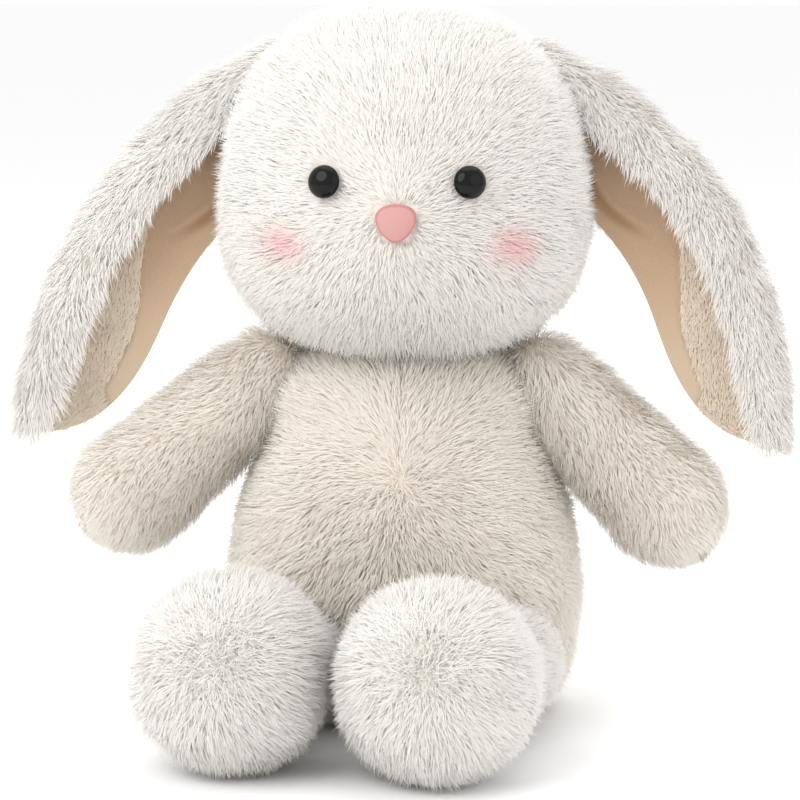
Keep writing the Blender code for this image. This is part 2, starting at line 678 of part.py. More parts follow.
def build_arm(side, body, torso, torso_body):
    sign = SIDES[side]
    centre = shoulder(side)
    flat = math.cos(ARM_DROOP[side])
    direction = Vector((
        sign * flat * math.cos(ARM_LEAN), -flat * math.sin(ARM_LEAN), -math.sin(ARM_DROOP[side])))
    frame = limb_frame(centre, direction)
    form = limb_form(frame, arm_profile, ARM_FLATNESS)
    room_form = limb_form(frame, arm_profile)
    rows = list(range(len(arm_profile())))
    # The limb frame's X points to one side of the arm: half a turn of it is the front panel.
    front = 0.75 if sign > 0 else 0.25
    pieces = []
    for name, first in (("front", front), ("back", front + 0.5)):
        turns = quarter_turns(first, 2, LIMB_COLUMNS)
        pieces.append(gore(f"arm_{name}_{side}", form, turns, rows, body, "cream_plush"))
    inside = PLUSH + FIT_GAP
    rings = [ring(form, row, inside, 4 * LIMB_COLUMNS) for row in rows]
    pieces.append(closed_form(
        f"arm_stuffing_{side}", rings, limb_end(frame, -ARM_ROOT_RADIUS + inside),
        limb_end(frame, ARM_LENGTH + PAW_RADIUS - inside), body, "fibre_fill"))
    # A head wide enough to reach the shoulders rests in a hollow of each arm.
    head = grown_head(f"arm_root_cutter_{side}", body, side, 0, SWING_GAP)
    for piece in pieces:
        cut(piece, head)
    room = swing_room("armhole_cutter_" + side, room_form, rows[:6], centre,
                      (-ARM_SWING[1], -ARM_SWING[0]), torso_body)
    for name in (f"belly_{side}", f"back_{side}", "torso_stuffing"):
        cut(torso[name], room)


def leg_direction():
    lift = math.asin((FOOT_RADIUS - HIP_HEIGHT) / LEG_LENGTH)
    return Vector((
        -math.sin(LEG_TOE_TURN) * math.cos(lift), -math.cos(LEG_TOE_TURN) * math.cos(lift), math.sin(lift)))


def build_leg(side, body, torso, torso_body):
    centre = hip(side)
    frame = limb_frame(centre, leg_direction())
    form = limb_form(frame, leg_profile)
    count = len(leg_profile())
    sole_row = count - len(TOE_ANGLES) - 1
    rows = list(range(sole_row + 1))
    # The limb frame's X points to the bunny's right.
    outer = 0.25 if SIDES[side] > 0 else 0.75
    for name, first in (("outer", outer), ("inner", outer + 0.5)):
        turns = quarter_turns(first, 2, LIMB_COLUMNS)
        gore(f"leg_{name}_{side}", form, turns, rows, body, "white_plush", rows=(False, True))
    build_foot_panel(side, frame, body)
    inside = PLUSH + FIT_GAP
    rings = [ring(form, row, inside, 4 * LIMB_COLUMNS) for row in range(count)]
    closed_form(
        f"leg_stuffing_{side}", rings, limb_end(frame, -HIP_RADIUS + inside),
        limb_end(frame, LEG_LENGTH + FOOT_RADIUS - inside), body, "fibre_fill")
    room = swing_room("hip_cutter_" + side, form, rows[:6], centre,
                      (-LEG_SWING[1], -LEG_SWING[0]), torso_body)
    for name in (f"belly_{side}", "torso_stuffing", "seat_panel"):
        cut(torso[name], room)


def build_foot_panel(side, frame, body):
    """The round panel on the front of the foot, inside the seam of the two leg panels."""
    edge = SOLE_ANGLE + SEAM_GAP / FOOT_RADIUS
    angles = [mix(edge, 0.5 * math.pi, i / 3) for i in range(3)]
    count = 4 * LIMB_COLUMNS
    outside, inside = (
        [
            [frame @ Vector((
                radius * math.cos(a) * math.cos(math.tau * i / count),
                radius * math.cos(a) * math.sin(math.tau * i / count),
                LEG_LENGTH + radius * math.sin(a)))
             for i in range(count)]
            for a in angles
        ]
        for radius in (FOOT_RADIUS, FOOT_RADIUS - PLUSH)
    )
    closed_form(
        f"foot_panel_{side}", list(reversed(outside)) + inside,
        limb_end(frame, LEG_LENGTH + FOOT_RADIUS), limb_end(frame, LEG_LENGTH + FOOT_RADIUS - PLUSH),
        body, "white_plush")


# ---------------------------------------------------------------- ears


def ear_root(side):
    """Start of the ear's outer edge, outside the crown."""
    z = HEAD_LEVEL + HEAD_CROWN - EAR_DROP
    reach = (1 - ((z - HEAD_LEVEL) / HEAD_CROWN) ** HEAD_ROUNDNESS) ** (1 / HEAD_ROUNDNESS)
    return Vector((SIDES[side] * (HEAD_HALF_WIDTH * reach + EAR_OUT), EAR_BEHIND, z))


def ear_width(side, distance):
    """Share of the full width: gathered at the root, full in the middle, round at the end."""
    length = EAR_LENGTH - EAR_TAKEN_UP[side]
    opened = min(1, max(0, distance / (EAR_ROOT_RUN * length)))
    root = mix(EAR_ROOT_SHARE, 1, opened)
    start = EAR_ROUND_START * length
    if distance <= start:
        return root
    along = (distance - start) / (length - start)
    first, second = EAR_END_POWERS
    return root * max(0.0, 1 - along**first) ** second


def ear_point(side, distance, around, out):
    """A point of the ear. around runs from -90 (back edge) to 90 degrees (front edge); out is measured
    outwards from the lining's inner face."""
    start, radius = EAR_START[side], EAR_ARC_RADIUS[side]
    angle = start + distance / radius
    across = radius * (math.sin(angle) - math.sin(start))
    down = radius * (math.cos(start) - math.cos(angle))
    width = ear_width(side, distance)
    reach = (EAR_FRONT_FOLD if around > 0 else EAR_BACK_FOLD) * width
    depth = EAR_HALF_DEPTH * mix(EAR_FLAT_SHARE, 1, width)
    normal = Vector((-depth * math.cos(around), reach * math.sin(around))).normalized()
    inward = reach * (1 - math.cos(around)) + normal.x * out + PLUSH + LINING + FIT_GAP
    front = depth * math.sin(around) + normal.y * out
    x = across - inward * math.sin(angle)
    z = -down - inward * math.cos(angle)
    root = ear_root(side)
    return root + Vector((SIDES[side] * x, -front, z))


def build_ear(side, body):
    end = EAR_END * (EAR_LENGTH - EAR_TAKEN_UP[side])
    distances = [mix(-EAR_TUCK, end, math.sin(0.5 * math.pi * i / EAR_ROWS)) for i in range(EAR_ROWS + 1)]
    arounds = [math.radians(90 * i / EAR_COLUMNS) for i in range(-EAR_COLUMNS, EAR_COLUMNS + 1)]
    layers = {
        "ear_lining_": (LINING, 0.0, "velour"),
        "ear_plush_": (LINING + FIT_GAP + PLUSH, LINING + FIT_GAP, "white_plush"),
    }
    lifts = [mix(EAR_SWING[0], EAR_SWING[1], i / EAR_LIFTS) for i in range(EAR_LIFTS + 1)]
    heads = [
        grown_head(f"ear_root_cutter_{side}_{lift:.0f}", body, side, lift, 2 * SWING_GAP) for lift in lifts
    ]
    for name, (outside, inside, finish) in layers.items():
        grids = [
            [[ear_point(side, d, a, out) for a in arounds] for d in distances]
            for out in (outside, inside)
        ]
        ear = panel(name + side, grids[0], grids[1], body, finish)
        for head in heads:
            cut(ear, head)


def grown_head(name, body, side, lift, grow):
    """The head's outline grown by so much, as a piece of this body meets it when lifted so many degrees."""
    centre = Vector(body["place"])
    turn = Matrix.Rotation(SIDES[side] * math.radians(lift), 4, "Y")
    around = Matrix.Translation(centre) @ turn @ Matrix.Translation(-centre)
    rings = [
        [around @ p for p in ring(head_form, rise, -grow, 4 * COLUMNS)] for rise in head_rises()
    ]
    ends = [around @ head_form(0, rise, -grow) for rise in (0, 1)]
    return as_cutter(closed_form(name, rings, ends[0], ends[1], body, "fibre_fill"))


# ---------------------------------------------------------------- assembly


def ear_hinge(side):
    """The hinge axis runs front to back through the upper end of the ear's root."""
    root = ear_root(side)
    angle = EAR_START[side]
    back = EAR_HINGE_SHARE * EAR_TUCK
    return root + Vector((-SIDES[side] * back * math.cos(angle), 0, back * math.sin(angle) - 0.5 * PLUSH))


def hip(side):
    """Hip centre: the legs are set apart by the size of their feet."""
    across = FOOT_RADIUS + 0.5 * FOOT_SPLIT
    return Vector((SIDES[side] * across, -HIP_FORWARD - LEG_LEAD[side], HIP_HEIGHT))


def build_all():
    torso_body = body_empty("torso", (0, 0, 0))
    neck_body = body_empty("neck", NECK_PIVOT, torso_body)
    head_body = body_empty("head", NECK_PIVOT, neck_body)
    torso = build_torso(torso_body)
    build_tail(torso_body)
    build_neck(neck_body)
    head = build_head(head_body)
    build_nose(head_body)
    for side in SIDES:
        build_eye(side, head_body, head)
        build_ear(side, body_empty("ear_" + side, ear_hinge(side), head_body))
        build_arm(side, body_empty("arm_" + side, shoulder(side), torso_body), torso, torso_body)
        build_leg(side, body_empty("leg_" + side, hip(side), torso_body), torso, torso_body)


for existing in list(bpy.data.objects):
    bpy.data.objects.remove(existing, do_unlink=True)
build_all()
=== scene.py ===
"""Looks of the stuffed bunny: combed pile on the plush panels, velour ear linings, velvet nose, glossy eyes.

Every visible plush panel is a thin backing with its pile on it, on the same outlines as the CAD panels.
Lengths are in metres. The bunny faces -Y, +Z is up and its own left is +X.
"""

import math

import bpy
import numpy as np
from mathutils import Matrix, Vector


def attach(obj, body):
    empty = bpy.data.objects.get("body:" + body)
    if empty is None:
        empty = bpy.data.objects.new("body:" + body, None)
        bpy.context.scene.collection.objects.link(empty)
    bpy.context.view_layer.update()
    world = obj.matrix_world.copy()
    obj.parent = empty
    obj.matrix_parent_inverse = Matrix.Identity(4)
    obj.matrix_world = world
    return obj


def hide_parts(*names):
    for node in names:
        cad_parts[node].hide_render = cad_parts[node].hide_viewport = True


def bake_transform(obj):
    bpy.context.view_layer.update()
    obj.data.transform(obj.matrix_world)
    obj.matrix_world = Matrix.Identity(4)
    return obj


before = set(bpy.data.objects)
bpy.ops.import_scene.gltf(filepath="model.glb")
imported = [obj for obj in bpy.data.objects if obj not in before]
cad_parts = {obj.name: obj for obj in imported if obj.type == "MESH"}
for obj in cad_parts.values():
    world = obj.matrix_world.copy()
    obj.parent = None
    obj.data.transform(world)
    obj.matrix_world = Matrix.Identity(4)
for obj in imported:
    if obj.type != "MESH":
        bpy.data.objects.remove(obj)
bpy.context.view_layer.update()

# Sizes shared with the CAD
PLUSH, LINING, FIT_GAP = 0.0045, 0.0016, 0.0004
HEAD_HALF_WIDTH, HEAD_HALF_DEPTH, HEAD_CROWN, HEAD_CHIN = 0.0700, 0.0590, 0.0820, 0.0500
HEAD_ROUNDNESS, HEAD_PLAN_ROUNDNESS = 2.5, 2.15
MUZZLE_BULGE, MUZZLE_HALF_WIDTH, MUZZLE_HALF_HEIGHT, MUZZLE_DROP = 0.0060, 0.0330, 0.0260, 0.0080
NECK_RADIUS, TORSO_HEIGHT, NECK_RIM = 0.0275, 0.1380, 0.12
TORSO_HALF_WIDTH, TORSO_FRONT, TORSO_BACK = 0.0690, 0.0590, 0.0530
TORSO_PROFILE = (
    (0.000, 0.70, 0.70), (0.045, 0.84, 0.86), (0.150, 0.955, 0.96), (0.350, 1.00, 1.00),
    (0.540, 0.955, 0.93), (0.690, 0.850, 0.81), (0.820, 0.705, 0.70), (0.930, 0.560, 0.60),
)
TORSO_PLAN_POWER = 0.94
TAIL_RADIUS, TAIL_HEIGHT, TAIL_STAND = 0.0190, 0.0300, 0.45
ARM_ROOT_RADIUS, PAW_RADIUS, ARM_LENGTH, ARM_FLATNESS, ARM_TAPER = 0.0185, 0.0252, 0.0680, 0.88, 0.7
ARM_DROOP, ARM_LEAN = {"left": math.radians(44), "right": math.radians(40)}, math.radians(13)
SHOULDER_INSET, SHOULDER_DROP = 0.0030, 0.0080
HIP_RADIUS, SHIN_RADIUS, FOOT_RADIUS, LEG_LENGTH = 0.0240, 0.0225, 0.0362, 0.0780
LEG_TOE_TURN, HIP_HEIGHT, HIP_FORWARD, FOOT_SPLIT = math.radians(14.5), 0.0270, 0.0400, 0.0020
LEG_LEAD = {"left": 0.0060, "right": -0.0060}
SOLE_ANGLE = math.radians(52)
EAR_LENGTH, EAR_TAKEN_UP = 0.1900, {"left": 0.0, "right": 0.0060}
EAR_ARC_RADIUS = {"left": 0.1530, "right": 0.1880}
EAR_START = {"left": math.radians(25), "right": math.radians(30)}
EAR_FRONT_FOLD, EAR_BACK_FOLD, EAR_HALF_DEPTH = 0.0170, 0.0425, 0.0085
EAR_OUT, EAR_DROP, EAR_BEHIND, EAR_TUCK = 0.0120, 0.0170, 0.0110, 0.0240
EYE_RADIUS, EYE_DOME, EYE_SPREAD, EYE_RISE = 0.0062, 0.0046, 0.0265, 0.0185
SHANK_RADIUS, SHANK_LENGTH = 0.0022, 0.0120
NOSE_HALF_WIDTH, NOSE_HEIGHT, NOSE_PUFF, NOSE_RISE = 0.0088, 0.0135, 0.0032, 0.0040
HEAD_LEVEL = TORSO_HEIGHT + 0.0520
TORSO_TOP = TORSO_HEIGHT + NECK_RIM * NECK_RADIUS
SIDES = {"left": 1, "right": -1}

# The backing lies this far inside the CAD outline, and the pile fills the rest
SKIN_DEPTH = 0.0038
SKIN_THICKNESS = 0.0007
FLOOR_GAP = 0.0004  # nothing reaches lower
FLOOR_HALF_WIDTH = 12.0
SKYWARD = np.array([0.0, -0.05, 0.10])  # fibres scatter light from above and in front
rng = np.random.default_rng(20)


# ---------------------------------------------------------------- outlines, as arrays


def power(value, exponent):
    return np.sign(value) * np.abs(value) ** exponent


def unit(v):
    return v / np.maximum(np.linalg.norm(v, axis=-1, keepdims=True), 1e-12)


def head_form(turn, rise, depth=0.0):
    level = np.pi * (rise - 0.5)
    exponent = 2 / HEAD_ROUNDNESS
    half = np.where(level > 0, HEAD_CROWN, HEAD_CHIN) - depth
    z = half * power(np.sin(level), exponent)
    reach = np.maximum(np.cos(level), 0) ** exponent
    around = 2 * np.pi * turn
    plan = 2 / HEAD_PLAN_ROUNDNESS
    x = (HEAD_HALF_WIDTH - depth) * reach * power(np.cos(around), plan)
    y = -(HEAD_HALF_DEPTH - depth) * reach * power(np.sin(around), plan)
    spread = (x / MUZZLE_HALF_WIDTH) ** 2 + ((z + MUZZLE_DROP) / MUZZLE_HALF_HEIGHT) ** 2
    y = np.where(y < 0, y - MUZZLE_BULGE * np.exp(-spread) * np.minimum(1, -y / (0.5 * HEAD_HALF_DEPTH)), y)
    # The centre seam draws the crown in a little.
    seam = np.exp(-(x / 0.0045) ** 2) * np.clip((z - 0.045) / 0.03, 0, 1)
    z = z - 0.0016 * seam
    return np.stack([x, y, HEAD_LEVEL + z], axis=-1)


def face_front(x, z, depth=0.0):
    half = (HEAD_CROWN if z > HEAD_LEVEL else HEAD_CHIN) - depth
    reach = (1 - min(1, abs((z - HEAD_LEVEL) / half)) ** HEAD_ROUNDNESS) ** (1 / HEAD_ROUNDNESS)
    across = min(1, abs(x / ((HEAD_HALF_WIDTH - depth) * reach)))
    share = (1 - across**HEAD_PLAN_ROUNDNESS) ** (1 / HEAD_PLAN_ROUNDNESS)
    spread = (x / MUZZLE_HALF_WIDTH) ** 2 + ((z - HEAD_LEVEL + MUZZLE_DROP) / MUZZLE_HALF_HEIGHT) ** 2
    return -(HEAD_HALF_DEPTH - depth) * reach * share - MUZZLE_BULGE * math.exp(-spread)


def face_frame(x, z, depth=0.0):
    step = 0.0015
    here = Vector((x, face_front(x, z, depth), z))
    along = Vector((2 * step, face_front(x + step, z) - face_front(x - step, z), 0)).normalized()
    up = Vector((0, face_front(x, z + step) - face_front(x, z - step), 2 * step)).normalized()
    out = along.cross(up).normalized()
    up = out.cross(along)
    made = Matrix((along, up, out)).transposed().to_4x4()
    made.translation = here
    return made


def torso_size(height):
    share = height / TORSO_HEIGHT
    sizes = [(s, w * TORSO_HALF_WIDTH, d * TORSO_FRONT, d * TORSO_BACK) for s, w, d in TORSO_PROFILE]
    sizes.append((TORSO_TOP / TORSO_HEIGHT, NECK_RADIUS, NECK_RADIUS, NECK_RADIUS))
    for i in range(len(sizes) - 1):
        if share <= sizes[i + 1][0]:
            break
    before, a, b = sizes[max(i - 1, 0)], sizes[i], sizes[i + 1]
    after = sizes[min(i + 2, len(sizes) - 1)]
    t = (share - a[0]) / (b[0] - a[0])
    found = []
    for k in (1, 2, 3):
        span = b[0] - a[0]
        slope_a = span * (b[k] - before[k]) / (b[0] - before[0]) if before is not a else b[k] - a[k]
        slope_b = span * (after[k] - a[k]) / (after[0] - a[0])
        found.append((2 * t**3 - 3 * t**2 + 1) * a[k] + (t**3 - 2 * t**2 + t) * slope_a
                     + (3 * t**2 - 2 * t**3) * b[k] + (t**3 - t**2) * slope_b)
    return found


TORSO_HEIGHTS = np.linspace(0, TORSO_TOP, 240)
TORSO_TABLE = np.array([torso_size(h) for h in TORSO_HEIGHTS])


def torso_form(turn, rise, depth=0.0):
    """rise runs from 0 at the seat to 1 at the neck."""
    # The shoulders swell into the arms' roots, which hides where the two meet.
    height = TORSO_TOP * rise
    width, front, back = (np.interp(height, TORSO_HEIGHTS, TORSO_TABLE[:, k]) for k in range(3))
    around = 2 * np.pi * turn
    deep = np.where(np.sin(around) > 0, front, back)
    side = np.abs(np.cos(around)) ** 2.2
    width = width + 0.0135 * side * np.exp(-((height - 0.127) / 0.0135) ** 2)
    x = (width - depth) * power(np.cos(around), TORSO_PLAN_POWER)
    y = -(deep - depth) * power(np.sin(around), TORSO_PLAN_POWER)
    return np.stack([x, y, height + 0 * x], axis=-1)


def limb_frame(start, direction):
    along = Vector(direction).normalized()
    side = along.cross(Vector((0, 0, 1))).normalized()
    up = side.cross(along)
    made = Matrix((side, up, along)).transposed().to_4x4()
    made.translation = start
    return made


def at(matrix, points):
    m = np.array(matrix)
    return points @ m[:3, :3].T + m[:3, 3]


def arm_profile(depth):
    root, paw = ARM_ROOT_RADIUS - depth, PAW_RADIUS - depth
    a = np.linspace(0.05, 1.45, 8)
    rows = [(-root * math.cos(x), root * math.sin(x)) for x in a]
    rows += [(ARM_LENGTH * s, root + (paw - root) * s**ARM_TAPER) for s in np.linspace(0.06, 0.98, 14)]
    rows += [(ARM_LENGTH + paw * math.sin(x), paw * math.cos(x)) for x in np.linspace(0.12, 1.50, 14)]
    return np.array(rows)


def leg_profile(depth):
    hip, shin, foot = HIP_RADIUS - depth, SHIN_RADIUS - depth, FOOT_RADIUS - depth
    rows = [(-hip * math.cos(x), hip * math.sin(x)) for x in np.linspace(0.05, 1.45, 8)]
    rows += [(LEG_LENGTH * s, hip + (shin - hip) * min(1, s / 0.4)) for s in (0.08, 0.18, 0.28, 0.38, 0.48)]
    throat = -math.acos((SHIN_RADIUS + 0.001) / FOOT_RADIUS)
    rows += [(LEG_LENGTH + foot * math.sin(x), foot * math.cos(x))
             for x in np.linspace(throat + 0.08, 1.53, 26)]
    return np.array(rows)


def limb_form(matrix, profile, flatness=1.0):
    def form(turn, row, depth=0.0):
        rows = profile(depth)
        steps = np.concatenate([[0], np.cumsum(np.linalg.norm(np.diff(rows, axis=0), axis=1))])
        distance = np.interp(row * steps[-1], steps, rows[:, 0])
        radius = np.interp(row * steps[-1], steps, rows[:, 1])
        around = 2 * np.pi * turn
        local = np.stack([radius * flatness * np.cos(around), radius * np.sin(around),
                          distance + 0 * around], axis=-1)
        return at(matrix, local)
    return form


def ear_root(side):
    z = HEAD_LEVEL + HEAD_CROWN - EAR_DROP
    reach = (1 - ((z - HEAD_LEVEL) / HEAD_CROWN) ** HEAD_ROUNDNESS) ** (1 / HEAD_ROUNDNESS)
    return np.array([SIDES[side] * (HEAD_HALF_WIDTH * reach + EAR_OUT), EAR_BEHIND, z])


def ear_length(side):
    return EAR_LENGTH - EAR_TAKEN_UP[side]


def ear_form(side):
    """form(around, distance, out): around -1 is the back edge and 1 the front edge, out is outwards from the
    lining's inner face."""
    length = ear_length(side)

    def form(across, distance, out=0.0):
        around = 0.5 * np.pi * across
        start, radius = EAR_START[side], EAR_ARC_RADIUS[side]
        angle = start + distance / radius
        go = radius * (np.sin(angle) - math.sin(start))
        down = radius * (math.cos(start) - np.cos(angle))
        opened = np.clip(distance / (0.25 * length), 0, 1)
        width = 0.80 + 0.20 * opened
        along = np.clip((distance - 0.62 * length) / (0.38 * length), 0, 1)
        width = width * np.maximum(0, 1 - along**2.5) ** 0.4
        reach = np.where(around > 0, EAR_FRONT_FOLD, EAR_BACK_FOLD) * width
        depth = EAR_HALF_DEPTH * (0.35 + 0.65 * width)
        normal = unit(np.stack([-depth * np.cos(around), reach * np.sin(around) + 1e-9], axis=-1))
        inward = reach * (1 - np.cos(around)) + normal[..., 0] * out + PLUSH + LINING + FIT_GAP
        forward = depth * np.sin(around) + normal[..., 1] * out
        x = go - inward * np.sin(angle)
        z = -down - inward * np.cos(angle)
        made = np.stack([SIDES[side] * x, -forward, z], axis=-1)
        return ear_root(side) + made
    return form


# ---------------------------------------------------------------- materials


def new_material(name, roughness, sheen=0.0, sheen_roughness=0.5):
    made = bpy.data.materials.new(name)
    made.use_nodes = True
    shader = made.node_tree.nodes["Principled BSDF"]
    shader.inputs["Roughness"].default_value = roughness
    shader.inputs["Sheen Weight"].default_value = sheen
    shader.inputs["Sheen Roughness"].default_value = sheen_roughness
    return made, made.node_tree, shader


def noise(tree, scale, detail=2.0, rough=0.5, kind="ShaderNodeTexNoise"):
    place = tree.nodes.new("ShaderNodeTexCoord")
    texture = tree.nodes.new(kind)
    texture.inputs["Scale"].default_value = scale
    if kind == "ShaderNodeTexNoise":
        texture.inputs["Detail"].default_value = detail
        texture.inputs["Roughness"].default_value = rough
    tree.links.new(place.outputs["Object"], texture.inputs["Vector"])
    return texture


def ramp(tree, source, stops):
    made = tree.nodes.new("ShaderNodeValToRGB")
    element = made.color_ramp.elements
    while len(element) < len(stops):
        element.new(0.5)
    for e, (place, colour) in zip(element, stops):
        e.position = place
        e.color = (*colour, 1)
    tree.links.new(source, made.inputs["Fac"])
    return made


def mixed(tree, share, a, b, kind="MIX"):
    made = tree.nodes.new("ShaderNodeMix")
    made.data_type = "RGBA"
    made.blend_type = kind
    for socket, value in ((made.inputs["Factor"], share), (made.inputs["A"], a), (made.inputs["B"], b)):
        if hasattr(value, "is_linked"):
            tree.links.new(value, socket)
        elif isinstance(value, tuple):
            socket.default_value = (*value, 1)
        else:
            socket.default_value = value
    return made.outputs["Result"]


def bump(tree, shader, height, strength, distance):
    made = tree.nodes.new("ShaderNodeBump")
    made.inputs["Strength"].default_value = strength
    made.inputs["Distance"].default_value = distance
    tree.links.new(height, made.inputs["Height"])
    tree.links.new(made.outputs["Normal"], shader.inputs["Normal"])


def pile_material(name, root, tip, warm):
    """Pile whose fibres are painted darker and warmer at the root: painted shade down among the fibres.
    Attribute "pile" holds the share along the fibre, a value per fibre and the share of blush."""
    made, tree, shader = new_material(name, 0.75, 0.25, 0.45)
    attribute = tree.nodes.new("ShaderNodeAttribute")
    attribute.attribute_name = "pile"
    parts = tree.nodes.new("ShaderNodeSeparateColor")
    tree.links.new(attribute.outputs["Color"], parts.inputs["Color"])
    # painted shade: the ramp runs from the darker, warmer root colour to the tip colour along the fibre
    shade = ramp(tree, parts.outputs["Red"],
                 [(0.0, root), (0.45, tuple(0.35 * r + 0.65 * t for r, t in zip(root, tip))), (1.0, tip)])
    broad = noise(tree, 22.0)
    cloudy = ramp(tree, broad.outputs["Fac"], [(0.35, (0.0, 0.0, 0.0)), (0.70, (1.0, 1.0, 1.0))])
    tinted = mixed(tree, cloudy.outputs["Color"],
                   shade.outputs["Color"], mixed(tree, 0.35, shade.outputs["Color"], warm))
    fibre = ramp(tree, parts.outputs["Green"], [(0.0, (0.96, 0.955, 0.95)), (1.0, (1.0, 1.0, 1.0))])
    varied = mixed(tree, 1.0, tinted, fibre.outputs["Color"], "MULTIPLY")
    blushed = mixed(tree, parts.outputs["Blue"], varied, (0.86, 0.30, 0.33))
    tree.links.new(blushed, shader.inputs["Base Color"])
    return made


def cloth_material(name, low, high, scale, depth, roughness=0.9, sheen=0.3):
    made, tree, shader = new_material(name, roughness, sheen)
    fine = noise(tree, scale, 3.0, 0.6)
    broad = noise(tree, 45.0)
    base = ramp(tree, fine.outputs["Fac"], [(0.30, low), (0.70, high)])
    patch = ramp(tree, broad.outputs["Fac"], [(0.3, tuple(0.93 * c for c in high)), (0.7, high)])
    tree.links.new(mixed(tree, 0.5, base.outputs["Color"], patch.outputs["Color"]),
                   shader.inputs["Base Color"])
    bump(tree, shader, fine.outputs["Fac"], 0.35, depth)
    return made


def velour_material():
    """Peach velour, paler towards the ear's end, with painted shade darkening it in the pleat and near the
    ear's root.
    Attribute "tone" holds both shares."""
    made, tree, shader = new_material("lining_velour", 0.85, 0.4)
    fine = noise(tree, 1500.0, 3.0, 0.6)
    base = ramp(tree, fine.outputs["Fac"], [(0.30, (0.55, 0.375, 0.24)), (0.70, (0.62, 0.44, 0.30))])
    attribute = tree.nodes.new("ShaderNodeAttribute")
    attribute.attribute_name = "tone"
    parts = tree.nodes.new("ShaderNodeSeparateColor")
    tree.links.new(attribute.outputs["Color"], parts.inputs["Color"])
    pale = mixed(tree, parts.outputs["Red"], base.outputs["Color"], (0.72, 0.59, 0.44))
    # green: painted shade, darker in the pleat and near the ear's root
    deep = mixed(tree, parts.outputs["Green"], pale, (0.42, 0.25, 0.13))
    tree.links.new(deep, shader.inputs["Base Color"])
    bump(tree, shader, fine.outputs["Fac"], 0.3, 0.0002)
    return made


def weave_material(name, low, high, pitch):
    made, tree, shader = new_material(name, 0.95, 0.2)
    place = tree.nodes.new("ShaderNodeTexCoord")
    waves = []
    for direction in ("X", "Z"):
        wave = tree.nodes.new("ShaderNodeTexWave")
        wave.bands_direction = direction
        wave.inputs["Scale"].default_value = 0.32 / pitch
        wave.inputs["Distortion"].default_value = 0.4
        tree.links.new(place.outputs["Object"], wave.inputs["Vector"])
        waves.append(wave)
    cross = mixed(tree, 1.0, waves[0].outputs["Color"], waves[1].outputs["Color"], "MULTIPLY")
    base = ramp(tree, cross, [(0.0, low), (0.6, high)])
    tree.links.new(base.outputs["Color"], shader.inputs["Base Color"])
    bump(tree, shader, cross, 0.4, 0.0002)
    return made


def eye_material():
    made, tree, shader = new_material("eye_gloss", 0.06)
    spots = noise(tree, 260.0)
    base = ramp(tree, spots.outputs["Fac"],
                [(0.3, (0.0020, 0.0018, 0.0018)), (0.7, (0.0045, 0.0040, 0.0035))])
    tree.links.new(base.outputs["Color"], shader.inputs["Base Color"])
    shader.inputs["Specular IOR Level"].default_value = 0.22
    return made


# each pile's first colour is its root colour, darker and warmer as painted shade among the fibres
WHITE_PILE = pile_material("white_pile", (0.805, 0.770, 0.725), (0.835, 0.810, 0.775), (0.825, 0.785, 0.735))
CREAM_PILE = pile_material("cream_pile", (0.80, 0.735, 0.645), (0.835, 0.792, 0.725), (0.82, 0.765, 0.685))
BAND_PILE = pile_material("band_pile", (0.95, 0.83, 0.68), (0.96, 0.86, 0.73), (0.95, 0.83, 0.69))
WHITE_BACK = cloth_material("white_backing", (0.76, 0.71, 0.65), (0.84, 0.80, 0.74), 900.0, 0.0002)
CREAM_BACK = cloth_material("cream_backing", (0.72, 0.62, 0.50), (0.80, 0.71, 0.59), 900.0, 0.0002)
LINING_VELOUR = velour_material()
NOSE_VELVET = cloth_material("nose_velvet", (0.46, 0.215, 0.205), (0.56, 0.29, 0.270),
                             2200.0, 0.0002, 0.8, 0.3)
NOSE_THREAD = cloth_material("nose_thread", (0.42, 0.13, 0.12), (0.54, 0.20, 0.18), 2600.0, 0.0002, 0.7, 0.2)
FIBRE_FILL = cloth_material("fibre_fill", (0.76, 0.76, 0.74), (0.88, 0.88, 0.86), 260.0, 0.0010)
POUCH_COTTON = weave_material("pouch_cotton", (0.46, 0.42, 0.34), (0.74, 0.70, 0.61), 0.0012)
WASHER_PLASTIC = cloth_material("washer_plastic", (0.70, 0.70, 0.68), (0.76, 0.76, 0.74),
                                700.0, 0.00005, 0.4, 0.0)
EYE_GLOSS = eye_material()


# ---------------------------------------------------------------- meshes


def mesh_of(name, points, faces, materials, slots=None, smooth=True):
    """faces is an array of quads (a repeated last corner makes a triangle), or a list of face tuples."""
    mesh = bpy.data.meshes.new(name)
    mesh.from_pydata([tuple(p) for p in points], [], [tuple(f) for f in faces])
    for m in materials:
        mesh.materials.append(m)
    if slots is not None:
        mesh.polygons.foreach_set("material_index", np.asarray(slots, np.int32))
    if smooth:
        mesh.shade_smooth()
    obj = bpy.data.objects.new(name, mesh)
    bpy.context.scene.collection.objects.link(obj)
    return obj


def grid_faces(rows, columns):
    r, c = np.mgrid[0:rows - 1, 0:columns - 1]
    a = (r * columns + c).ravel()
    return np.stack([a, a + 1, a + columns + 1, a + columns], axis=1)


def rim_faces(rows, columns):
    top = list(range(columns))
    right = [r * columns + columns - 1 for r in range(1, rows)]
    bottom = [(rows - 1) * columns + c for c in range(columns - 2, -1, -1)]
    left = [r * columns for r in range(rows - 2, 0, -1)]
    rim = np.array(top + right + bottom + left)
    after = np.roll(rim, -1)
    under = rows * columns
    return np.stack([after, rim, rim + under, after + under], axis=1)


def grid_normals(points, outward):
    """Unit normals of a grid of points. outward is a point grid that lies outside it."""
    du = np.gradient(points, axis=1)
    dv = np.gradient(points, axis=0)
    n = np.cross(du, dv)
    n = unit(n)
    flip = np.sign(np.sum(n * (outward - points), axis=-1, keepdims=True))
    return n * np.where(flip == 0, 1, flip)


